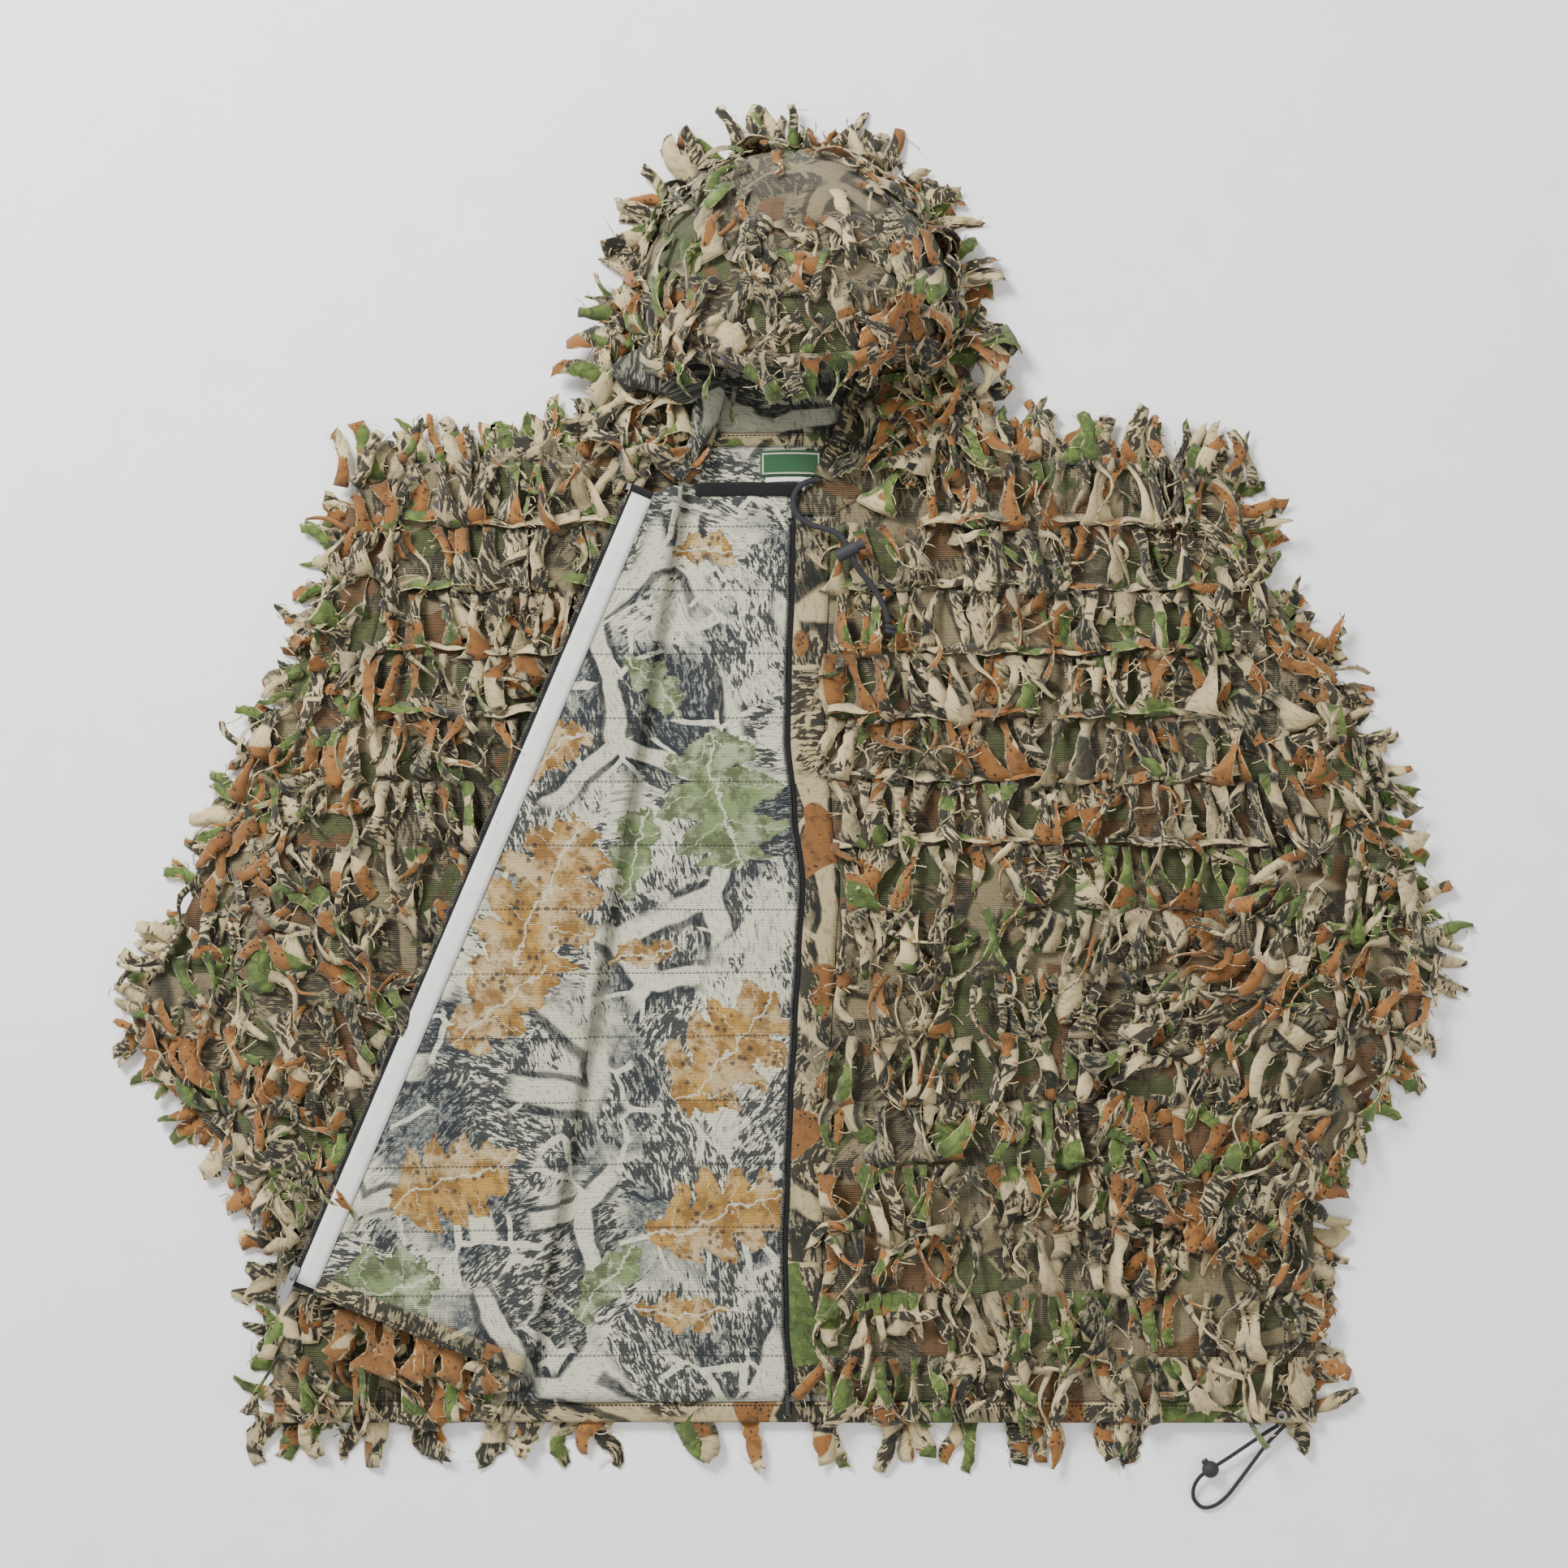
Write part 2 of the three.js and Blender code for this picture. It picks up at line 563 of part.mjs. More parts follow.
const coilOuter = -FLAP_TAPE_WIDTH - GAP - COIL_SIZE;
const tapeTop = TAPE_THICK;
const coilMiddleZ = TAPE_THICK / 2;

function buildFlapZip() {
  const tape = box(-FLAP_TAPE_WIDTH, -GAP, 0, EDGE_LENGTH, 0, tapeTop);
  piece('right_zip_tape', tape, material.blackTape, zipEdge);
  const facing = box(-FACING_WIDTH, -GAP, 6, EDGE_LENGTH - 8, tapeTop + GAP, tapeTop + GAP + 1);
  piece('right_zip_facing_tape', facing, material.facing, zipEdge);
  const low = coilMiddleZ - COIL_SIZE / 2;
  const coil = box(coilOuter, -FLAP_TAPE_WIDTH - GAP, 0, EDGE_LENGTH - 6, low, low + COIL_SIZE);
  piece('right_zip_coil', coil, material.coil, zipEdge);
  const stopHigh = low + COIL_SIZE + 0.4;
  const tapeSide = -FLAP_TAPE_WIDTH - GAP;
  const stop = box(coilOuter - 0.4, tapeSide, EDGE_LENGTH - 5.7, EDGE_LENGTH - 1, low, stopHigh);
  piece('right_zip_top_stop', stop, material.metal, zipEdge);
  const holder = box(coilOuter - 4, -FACING_WIDTH, -10, -GAP, low - 1.2, low + COIL_SIZE + 1.2);
  piece('right_zip_box', holder, material.metal, zipEdge);
}

// The slider: two plates over and under the coil, joined outside it, with a bail on top.
const SLIDER_LENGTH = 13;
const SLIDER_PLATE = 1.2;
const BAIL_INNER = 2;
const BAIL_WIRE = 1.2;

const sliderFrame = new THREE.Group();
sliderFrame.position.set(coilOuter + COIL_SIZE / 2, 8, coilMiddleZ);
zipEdge.add(sliderFrame);
const plateLow = COIL_SIZE / 2 + 0.4; // from the coil's middle to the inner face of a plate
const plateTop = plateLow + SLIDER_PLATE;
const bailZ = plateTop + 0.9; // the pull tab turns about this height

function buildSlider() {
  const inner = COIL_SIZE / 2 + GAP + 1.4; // reaches over the tape beside the coil
  const outer = -COIL_SIZE / 2 - 0.6;
  const wall = outer - 1.6;
  const half = SLIDER_LENGTH / 2;
  const upper = solid(box(wall, inner, -half, half, plateLow, plateTop));
  const lower = solid(box(wall, inner, -half, half, -plateTop, -plateLow));
  const back = solid(box(wall, outer, -half, half, -plateTop, plateTop));
  const bail = new THREE.Shape();
  const outerRadius = BAIL_INNER + BAIL_WIRE;
  bail.moveTo(outerRadius, plateTop - bailZ - 0.3);
  bail.absarc(0, 0, outerRadius, 0, Math.PI, false);
  bail.lineTo(-outerRadius, plateTop - bailZ - 0.3);
  bail.lineTo(-BAIL_INNER, plateTop - bailZ - 0.3);
  bail.absarc(0, 0, BAIL_INNER, Math.PI, 0, true);
  bail.lineTo(BAIL_INNER, plateTop - bailZ - 0.3);
  const arch = new THREE.ExtrudeGeometry(bail, { depth: BAIL_WIRE, bevelEnabled: false, curveSegments: 8 });
  arch.translate(0, 0, -BAIL_WIRE / 2);
  arch.rotateX(Math.PI / 2).rotateZ(Math.PI / 2).translate(0, 0, bailZ);
  const body = upper.add(lower).add(back).add(solid(arch));
  piece('zip_slider', geometryOf(body), material.metal, sliderFrame);
}

// The pull tab hangs on the bail by a window and lies down the coil at rest.
function buildPullTab() {
  const thick = 1;
  const half = 2.6;
  const length = 24;
  const tab = new THREE.Shape();
  tab.moveTo(-half, 0.7);
  tab.lineTo(-half, -length + half);
  tab.absarc(0, -length + half, half, Math.PI, 2 * Math.PI, false);
  tab.lineTo(half, 0.7);
  const window = new THREE.Path();
  const windowHalf = BAIL_WIRE / 2 + 0.5;
  window.moveTo(-windowHalf, -0.9);
  window.lineTo(windowHalf, -0.9);
  window.lineTo(windowHalf, -BAIL_INNER - BAIL_WIRE - 1);
  window.lineTo(-windowHalf, -BAIL_INNER - BAIL_WIRE - 1);
  tab.holes.push(window);
  const plate = new THREE.ExtrudeGeometry(tab, { depth: thick, bevelEnabled: false, curveSegments: 6 });
  piece('zip_pull_tab', plate.translate(0, 0, bailZ - thick / 2), material.metal, sliderFrame);
}

// ---------------------------------------------------------------- hood

const ellipse = (rx, ry) => (t) => [rx * Math.cos(t), HOOD_Y + ry * Math.sin(t)];

function arcPoints(curve, from, to, steps) {
  return Array.from({ length: steps + 1 }, (_, i) => curve(from + ((to - from) * i) / steps));
}

// A crown-shaped solid, larger all round than the hood's own size by a distance.
function crown(larger) {
  const ball = new THREE.SphereGeometry(1, 24, 12).rotateX(Math.PI / 2);
  ball.scale(HOOD_HALF_WIDTH + larger, HOOD_HALF_LENGTH + larger, HOOD_HEIGHT + larger);
  return solid(ball.translate(0, HOOD_Y, FRONT_Z));
}

// All that lies behind the leaning brim, from a distance back.
function behindBrim(distance) {
  const size = 600;
  const block = new THREE.BoxGeometry(size, size, size);
  block.translate(0, size / 2 + distance, 0).rotateX(BRIM_LEAN);
  return solid(block.translate(0, BRIM_FOOT_Y, FRONT_Z));
}

function halfSpace(side, low) {
  return solid(side > 0 ? box(GAP / 2, 300, 0, 700, low, 300) : box(-300, -GAP / 2, 0, 700, low, 300));
}

// The hood's front edge lies open on the neck; points run from the zip up to the crown's foot.
const edgeLeft = [[20, 222], [34, 252], [50, 290], [98, 320]];
const edgeRight = [[-84, 222], [-70, 242], [-56, 288], [-98, 320]];
const CHEEK_FOOT = [116, 356];
const CHEEK_BULGE = [128, 300];

function cheekOutline(side, edge, seam) {
  const outer = [CHEEK_BULGE, CHEEK_FOOT, [CHEEK_FOOT[0] - 14, CHEEK_FOOT[1]]];
  const own = side > 0 ? outer : mirrored(outer);
  return [...seam, ...own, ...edge.slice().reverse()];
}

const seamLeft = [[panelLeft + 4, NECK_FRONT_Y + 1], [NECK_SIDE[0], NECK_SIDE[1] + 1]];

function buildHood() {
  const floor = arcPoints(ellipse(HOOD_HALF_WIDTH, HOOD_HALF_LENGTH), -0.3, Math.PI + 0.3, 24);
  const neck = NECK_SIDE[1] + GAP;
  const back = [[100, neck], ...floor, [-100, neck]];
  piece('hood_back_panel', prism(back, BACK_Z, BACK_Z + CLOTH), material.lining);
  const rim = ellipse(HOOD_HALF_WIDTH + HOOD_LEAF, HOOD_HALF_LENGTH + HOOD_LEAF);
  const wide = arcPoints(rim, -0.3, Math.PI + 0.3, 24);
  const under = [[NECK_SIDE[0], neck], ...wide, [-NECK_SIDE[0], neck]];
  piece('hood_under_leaf_rows', prism(under, 0, UNDER_LEAF), material.leaf);

  const shell = crown(0).subtract(crown(-CLOTH));
  const leaves = crown(HOOD_LEAF).subtract(crown(GAP));
  const [foldX, foldY] = fromFold([0, FOLD_LENGTH]);
  const seamRight = [[foldX, foldY + 2], [-NECK_SIDE[0], NECK_SIDE[1] + 2]];
  const sides = [
    { name: 'hood_left', side: 1, edge: edgeLeft, seam: seamLeft },
    { name: 'hood_right', side: -1, edge: edgeRight, seam: seamRight },
  ];
  for (const { name, side, edge, seam } of sides) {
    const own = halfSpace(side, FRONT_Z);
    const cheek = prism(cheekOutline(side, edge, seam), FRONT_Z, FRONT_Z + CLOTH);
    const dome = shell.intersect(behindBrim(BRIM_CASING + GAP)).intersect(own);
    piece(`${name}_panel`, geometryOf(dome.add(solid(cheek))), material.camouflage);

    const foot = [side * (HOOD_HALF_WIDTH - 2), BRIM_FOOT_Y + 8];
    const path = [...edge, foot];
    const stripLine = [...path, ...besides(path, side * 12).reverse()];
    const strip = prism(stripLine, LEAF_Z, LEAF_Z + CLOTH);
    const ownHigh = halfSpace(side, LEAF_Z);
    const brim = shell.intersect(behindBrim(0)).subtract(behindBrim(BRIM_CASING)).intersect(ownHigh);
    piece(`${name}_casing`, geometryOf(brim.add(solid(strip))), material.camouflage);

    const low = side > 0 ? NECK_SIDE[1] + 1 : NECK_SIDE[1] + 2;
    const neckX = NECK_SIDE[0];
    const far = [[neckX, low], [neckX + 10, 300], [neckX + 8, 372], [118, 372], [118, 318]];
    const near = besides(edge, side * 13).slice(0, 3).reverse();
    const cheekLeaf = [...(side > 0 ? far : mirrored(far)), ...near];
    const flatLeaf = solid(prism(cheekLeaf, LEAF_Z, LEAF_Z + CLOTH + LEAF_DEPTH)).subtract(crown(GAP));
    const overStrip = solid(prism(grown(stripLine, 2 * GAP), 0, LEAF_Z + CLOTH + GAP));
    const rows = leaves.intersect(behindBrim(BRIM_CASING / 2)).intersect(ownHigh).add(flatLeaf);
    piece(`${name}_leaf_rows`, geometryOf(rows.subtract(overStrip)), material.leaf);
  }
}

function eyelet(name, [x, y, z], look, outer = 4.5, inner = 2.6, thick = 1.2) {
  const profile = [[inner, 0], [outer, 0], [outer, thick], [inner, thick], [inner, 0]];
  const ring = new THREE.LatheGeometry(profile.map(([r, h]) => new THREE.Vector2(r, h)), 16);
  piece(name, ring.rotateX(Math.PI / 2).translate(x, y, z), look);
}

function buildNeck() {
  const z = FRONT_Z;
  const seam = NECK_SIDE[1];
  piece('neck_binding', box(-62, 26, seam - 3, seam + 4, z, z + 1.4), material.camouflage);
  piece('neck_label', box(-26, 19, seam - 26.5, seam - 7.5, z, z + 0.8), material.label);
  piece('neck_tape', box(-74, 4, seam - 41, seam - 31, z, z + 0.8), material.blackTape);
  piece('care_label', box(-22, 14, seam - 30.5, seam - 27.5, z, z + 0.5), material.whiteTape);
  const top = LEAF_Z + CLOTH + GAP;
  eyelet('hood_left_eyelet', [27, 226, top], material.metal);
  eyelet('hood_right_eyelet', [-88, 230, top], material.metal);
}

// ---------------------------------------------------------------- cords and their locks

// The hood's draw cord leaves the casing, passes its lock and ends in a knot on the chest.
const HOOD_CORD_ROUTE = [
  [18, 220, 14.4], [10, 219, 14.6], [3, 215, 14.8], [-1, 208, 15], [-1, 200, 15.2], [3, 192.5, 16],
  [11, 187, 18.6], [20, 184, 22.6], [28, 181, 26.4], [34.5, 176, 28.9], [39, 167, 29.6], [43.5, 158, 29],
  [48, 151, 27.6], [54, 144, 26.9], [60, 135, 26.8], [65, 125, 26.8], [68, 115, 26.8],
];

// The hem's elastic cord leaves the hem, passes the ball toggle, turns back and goes in again.
// Its points are offsets from the hem's left corner.
const HEM_CORD_ROUTE = [
  [-28, -1.8, 9], [-37, -7.5, 8.2], [-50, -16.5, 7], [-64, -26, 6.6], [-78, -35, 6.6],
  [-85.8, -40.8, 6.2], [-90, -49, 4.4], [-89.5, -58, 2.6], [-83, -64, 1.9], [-74, -62.5, 1.9],
  [-65, -55.5, 1.9], [-56, -44, 2.1], [-47, -31.5, 3.4], [-38, -18.5, 6], [-29, -8, 8.2], [-23, -1.8, 9],
].map(([x, y, z]) => [BODY_HALF + x, HEM_Y + y, z]);

// The round section of a cord or wire, as a flat shape with a number of sides.
function roundSection(diameter, sides) {
  const rim = Array.from({ length: sides }, (_, i) => {
    const turn = (2 * Math.PI * i) / sides;
    return new THREE.Vector2(Math.cos(turn), Math.sin(turn)).multiplyScalar(diameter / 2);
  });
  return new THREE.Shape(rim);
}

function tube(route, diameter, sides, steps) {
  const curve = new THREE.CatmullRomCurve3(route.map((p) => new THREE.Vector3(...p)));
  const section = roundSection(diameter, sides);
  return new THREE.ExtrudeGeometry(section, { steps, extrudePath: curve, bevelEnabled: false });
}

function helix(radius, wire, length, turns) {
  class Spring extends THREE.Curve {
    getPoint(t, target = new THREE.Vector3()) {
      const turn = 2 * Math.PI * turns * t;
      return target.set((length - wire) * t + wire / 2, radius * Math.cos(turn), radius * Math.sin(turn));
    }
  }
  const path = { steps: turns * 10, extrudePath: new Spring(), bevelEnabled: false };
  return new THREE.ExtrudeGeometry(roundSection(wire, 5), path);
}

function rod(radius, x0, x1, segments = 20) {
  const cylinder = new THREE.CylinderGeometry(radius, radius, x1 - x0, segments);
  return cylinder.rotateZ(Math.PI / 2).translate((x0 + x1) / 2, 0, 0);
}

// A sprung cord lock: its axis is x, the cord passes along y at x = 0, and the button points to +x.
function cordLock(names, place, cord, sizes) {
  const frame = new THREE.Group();
  frame.position.set(...place.at);
  frame.rotation.z = place.turn;
  garment.add(frame);
  const hole = cord / 2 + 0.4;
  const noseEnd = -hole - sizes.nose;
  const boreEnd = noseEnd - sizes.travel - sizes.springSolid;
  const cross = solid(new THREE.CylinderGeometry(hole, hole, 40, 16));
  const bore = solid(rod(sizes.plunger + GAP, boreEnd, 40));
  const housing = solid(sizes.housing(boreEnd)).subtract(bore).subtract(cross);
  piece(names.housing, geometryOf(housing), material.plastic, frame);

  const slot = solid(box(-hole, hole + sizes.travel, -20, 20, -hole, hole));
  let button = solid(rod(sizes.plunger, noseEnd, sizes.buttonEnd)).subtract(slot);
  if (sizes.head) button = button.add(solid(rod(sizes.head, sizes.buttonEnd - 2.4, sizes.buttonEnd)));
  piece(names.button, geometryOf(button), material.plastic, frame);

  const length = noseEnd - boreEnd - 2 * GAP;
  const spring = helix(sizes.plunger - 1.1, sizes.wire, length, sizes.turns);
  piece(names.spring, spring.translate(boreEnd + GAP, 0, 0), material.spring, frame);
}

function buildCords() {
  piece('hood_cord', tube(HOOD_CORD_ROUTE, HOOD_CORD_DIAMETER, 10, 40), material.cord);
  const [ex, ey, ez] = HOOD_CORD_ROUTE.at(-1);
  const knot = new THREE.SphereGeometry(1, 12, 8).scale(4.4, 4.4, 3.4);
  piece('hood_cord_knot', knot.translate(ex + 1.7, ey - 4.75, ez + 0.9), material.cord);
  cordLock(
    { housing: 'hood_lock_barrel', button: 'hood_lock_button', spring: 'hood_lock_spring' },
    { at: HOOD_CORD_ROUTE[10], turn: Math.atan2(9, 18) },
    HOOD_CORD_DIAMETER,
    {
      nose: 1.5,
      travel: 3,
      springSolid: 1.6,
      plunger: 3.5,
      wire: 0.7,
      turns: 3,
      head: 4.3,
      buttonEnd: 12.2,
      housing: (boreEnd) => rod(5, boreEnd - 1.2, 6.4, 24),
    },
  );

  piece('hem_cord', tube(HEM_CORD_ROUTE, HEM_CORD_DIAMETER, 8, 56), material.cord);
  cordLock(
    { housing: 'hem_toggle_ball', button: 'hem_toggle_button', spring: 'hem_toggle_spring' },
    { at: HEM_CORD_ROUTE[4], turn: Math.atan2(21.5, -15) },
    HEM_CORD_DIAMETER,
    {
      nose: 1,
      travel: 1.6,
      springSolid: 0.8,
      plunger: 2.5,
      wire: 0.4,
      turns: 2,
      buttonEnd: 8.4,
      housing: () => new THREE.SphereGeometry(6.3, 20, 12),
    },
  );
  const hemTop = FRONT_Z + CLOTH + GAP;
  eyelet('hem_eyelet', [BODY_HALF - 26, HEM_Y + 5, hemTop], material.metal, 4, 2);
}

// ---------------------------------------------------------------- assembly

buildBack();
buildFringe();
buildLeftFront();
buildRightFront();
buildSleeve('left', left, null);
buildSleeve('right', right, flapShadow());
buildFlap();
buildFlapZip();
buildSlider();
buildPullTab();
buildHood();
buildNeck();
buildCords();

// The garment without its cords stands centred over the origin.
garment.updateMatrixWorld(true);
const bounds = new THREE.Box3();
garment.traverse((node) => {
  if (node.isMesh && !/cord|lock|toggle/.test(node.name)) bounds.expandByObject(node, true);
});
const centre = bounds.getCenter(new THREE.Vector3());
garment.position.set(-centre.x, -centre.y, -bounds.min.z);

export default garment;
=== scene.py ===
"""A leafy camouflage jacket laid flat, with its right front folded open.

Each operator makes one piece or one group of like pieces. Lengths inside the operators are in
millimetres on the jacket's own plan: x from the middle towards the wearer's left, y from the
underarm's level towards the hood, and z up from the surface the jacket lies on.
"""
import math
import random

import bmesh
import bpy
from bpy.props import FloatProperty, FloatVectorProperty, PointerProperty
from mathutils import Matrix, Vector


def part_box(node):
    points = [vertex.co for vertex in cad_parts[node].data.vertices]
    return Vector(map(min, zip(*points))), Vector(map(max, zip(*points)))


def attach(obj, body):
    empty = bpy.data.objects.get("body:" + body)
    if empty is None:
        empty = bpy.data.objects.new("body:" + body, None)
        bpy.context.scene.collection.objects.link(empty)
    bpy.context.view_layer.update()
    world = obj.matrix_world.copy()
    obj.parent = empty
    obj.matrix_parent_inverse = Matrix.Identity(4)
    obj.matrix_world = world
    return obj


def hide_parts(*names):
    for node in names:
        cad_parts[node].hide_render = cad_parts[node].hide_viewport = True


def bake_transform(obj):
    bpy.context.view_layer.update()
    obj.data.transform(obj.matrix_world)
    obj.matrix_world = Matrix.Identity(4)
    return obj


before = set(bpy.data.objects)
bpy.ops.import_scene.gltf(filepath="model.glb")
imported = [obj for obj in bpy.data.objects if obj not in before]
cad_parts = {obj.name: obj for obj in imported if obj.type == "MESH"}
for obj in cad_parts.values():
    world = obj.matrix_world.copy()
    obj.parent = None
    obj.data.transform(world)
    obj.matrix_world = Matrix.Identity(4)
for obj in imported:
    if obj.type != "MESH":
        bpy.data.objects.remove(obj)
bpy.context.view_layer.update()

bl_info = {
    "name": "Leafy camouflage jacket",
    "version": (1, 0, 0),
    "blender": (4, 5, 0),
    "location": "3D View > Sidebar > Jacket",
    "description": "Makes a hooded jacket covered in sewn rows of cut cloth strips",
    "category": "Add Mesh",
}

MM = 0.001
BACK_LOW, BACK_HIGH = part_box("back_panel")
BACK_EDGE_Y = -458.7  # the back cloth's lower edge on the plan
SHIFT = Vector(((BACK_LOW[0] + BACK_HIGH[0]) / 2, BACK_LOW[1] - BACK_EDGE_Y * MM, 0))

# ---------------------------------------------------------------- the jacket's plan

HEM_Y = -474
HEM_BAND = 15
BODY_HALF = 384
UNDERARM = (376, -54)
SHOULDER = (288, 231)
ARMHOLE_BOW = (306, 60)
NECK_SIDE = (132, 249)
ZIP_TOP_Y = 192
ZIP_FOOT_Y = -453
ZIP_WAVER = (2, -2, -3, -1, 1, 4, 7, 10, 4, -1, 0, 2, 3)
FOLD_FOOT = Vector((-195, -441))
FOLD_WAY = Vector((113, 657)).normalized()
FOLD_ACROSS = Vector((FOLD_WAY.y, -FOLD_WAY.x))
FOLD_LENGTH = 666.65
FOLD_Z = 15.05
FOLD_RADIUS = 6.2
TURN_START = -6.95
FLAP_TILT = math.radians(5)
FLAP_HEM = (-167, 38)
FLAP_NECK = (-21, 657)
HOOD_Y = 350
HOOD_HALF_WIDTH = 116
HOOD_HALF_LENGTH = 112
HOOD_HEIGHT = 88
FRONT_Z = 8.1
BODY_LIFT = 15.2
FRONT_TOP = 9.8
SLEEVE_TOP = 10.5
ROW_PITCH = 47
HOOD_CORD = 4.5
HEM_CORD = 3
KNOT_CORD = 3.6
CREASE_MARGIN = 22
SLIDER_WAY_FROM = 380  # beyond this, along the crease, strips under the flap leave the slider's way free

LEFT_ARM = {
    "side": 1,
    "outer": [(-52, 268), (-30, 198), (30, 108), (50, 54), (74, -24), (96, -69), (78, -132), (45, -182),
              (8, -232), (-40, -296)],
    "inner": [(-118, -106), (-152, -196), (-133, -262)],
}
RIGHT_ARM = {
    "side": -1,
    "outer": [(-52, 268), (-2, 114), (50, 4), (92, -84), (112, -124), (62, -196), (10, -252), (-22, -296)],
    "inner": [(-86, -110), (-78, -196), (-66, -286)],
}

HOOD_CORD_ROUTE = [
    (18, 220, 14.4), (10, 219, 14.6), (3, 215, 14.8), (-1, 208, 15), (-1, 200, 15.2), (3, 192.5, 16),
    (11, 187, 18.6), (20, 184, 22.6), (28, 181, 26.4), (34.5, 176, 28.9), (39, 167, 29.6), (43.5, 158, 29),
    (48, 151, 27.6), (54, 144, 26.9), (60, 135, 26.8), (65, 125, 26.8), (68, 115, 26.8),
]
HEM_CORD_ROUTE = [
    (-28, -1.8, 9), (-37, -7.5, 8.2), (-50, -16.5, 7), (-64, -26, 6.6), (-78, -35, 6.6),
    (-85.8, -40.8, 6.2), (-90, -49, 4.4), (-89.5, -58, 2.6), (-83, -64, 1.9), (-74, -62.5, 1.9),
    (-65, -55.5, 1.9), (-56, -44, 2.1), (-47, -31.5, 3.4), (-38, -18.5, 6), (-29, -8, 8.2), (-23, -1.8, 9),
]


def place(x, y, z):
    """A point of the plan in the frame, in metres."""
    return Vector((x * MM + SHIFT.x, y * MM + SHIFT.y, z * MM))


def mirrored(points):
    return [(-x, y) for x, y in points]


def mix(a, b, t):
    return a + (b - a) * t


def between(value, low, high):
    return min(max((value - low) / (high - low), 0), 1)


def soft_step(value, low, high):
    t = between(value, low, high)
    return t * t * (3 - 2 * t)


def bezier(a, b, c, steps):
    points = []
    for i in range(steps + 1):
        t = i / steps
        points.append(tuple(mix(mix(p, q, t), mix(q, r, t), t) for p, q, r in zip(a, b, c)))
    return points


ARMHOLE = bezier(UNDERARM, ARMHOLE_BOW, SHOULDER, 8)


def along_line(points, fraction):
    """The point at a fraction of a line's length."""
    lengths = [(Vector(b) - Vector(a)).length for a, b in zip(points, points[1:])]
    left = fraction * sum(lengths)
    for (a, b), length in zip(zip(points, points[1:]), lengths):
        if left <= length:
            return Vector(a).lerp(Vector(b), left / length)
        left -= length
    return Vector(points[-1])


def inside(point, outline):
    """True for a point of the plan inside a closed outline."""
    x, y = point[0], point[1]
    found = False
    for (ax, ay), (bx, by) in zip(outline, outline[-1:] + outline[:-1]):
        if (ay > y) != (by > y) and x < (bx - ax) * (y - ay) / (by - ay) + ax:
            found = not found
    return found


def outline_area(outline):
    """The area inside a closed outline of the plan, in square metres."""
    return abs(sum(a[0] * b[1] - b[0] * a[1] for a, b in zip(outline,
                                                             outline[1:] + outline[:1]))) / 2 * MM * MM


def surface_area(rows):
    """The area of a sheet given by rows of points, in square metres."""
    total = 0.0
    for low, high in zip(rows, rows[1:]):
        for a, b, c, d in zip(low, low[1:], high[1:], high):
            a, b, c, d = (Vector(p) for p in (a, b, c, d))
            total += (b - a).cross(c - a).length / 2 + (c - a).cross(d - a).length / 2
    return total * MM * MM


def zip_x(y):
    """The left zip's middle at a height on the plan."""
    t = between(y, ZIP_FOOT_Y, ZIP_TOP_Y) * (len(ZIP_WAVER) - 1)
    i = min(int(t), len(ZIP_WAVER) - 2)
    return mix(ZIP_WAVER[i], ZIP_WAVER[i + 1], soft_step(t - i, 0, 1))


def side_from(y):
    return [(BODY_HALF, y), *ARMHOLE, NECK_SIDE]


def left_front_outline(bottom):
    edge = [(zip_x(y) + 22.6, y) for y in range(int(bottom), ZIP_TOP_Y + 1, 12)]
    return [*edge, (26, 204), *reversed(side_from(bottom))]


def from_fold(u, v):
    point = FOLD_FOOT + FOLD_ACROSS * u + FOLD_WAY * v
    return point.x, point.y


def right_front_outline(bottom):
    foot = from_fold(TURN_START, 0)
    neck = from_fold(TURN_START, FOLD_LENGTH)
    return [foot, neck, *reversed(mirrored(side_from(bottom))), (foot[0] - 45, bottom)]


def on_flap(u, v, w):
    """A point of the opened flap's own frame, on the plan: u across the crease, v along, w up."""
    across = u * math.cos(FLAP_TILT) + w * math.sin(FLAP_TILT)
    x, y = from_fold(across, v)
    return x, y, FOLD_Z - u * math.sin(FLAP_TILT) + w * math.cos(FLAP_TILT)


def sleeve_lines(arm):
    """A sleeve's outer and inner line on the plan, for the wearer's left."""
    def on_plan(points):
        return [(UNDERARM[0] + x, UNDERARM[1] + y) for x, y in points]
    return on_plan(arm["outer"]), [*reversed(ARMHOLE), *on_plan(arm["inner"])]


def sleeve_outline(arm):
    outer, inner = sleeve_lines(arm)
    line = outer + list(reversed(inner))
    return line if arm["side"] > 0 else mirrored(line)


def lift(x, y):
    """How far the body under a sleeve raises it."""
    return BODY_LIFT * (1 - between(abs(x), 387, 416)) * (1 - between(y, -52, -38))


def flap_shadow(reach=24):
    """The outline of all that lies under the opened flap."""
    corners = [(20, -40), (TURN_START, -4), (FLAP_HEM[0] - reach, FLAP_HEM[1] - 20),
               (FLAP_NECK[0] - reach, FLAP_NECK[1] + 6), (20, FLAP_NECK[1] + 40)]
    return [from_fold(u, v) for u, v in corners]


# ---------------------------------------------------------------- sizes and colours a user may change


def colour(name, description, red, green, blue):
    """A colour setting, given by its screen values."""
    def linear(value):
        value = value / 255
        return value / 12.92 if value <= 0.04045 else ((value + 0.055) / 1.055) ** 2.4
    values = (linear(red), linear(green), linear(blue), 1)
    return FloatVectorProperty(name=name, description=description, subtype="COLOR", size=4, min=0, max=1,
                               default=values)


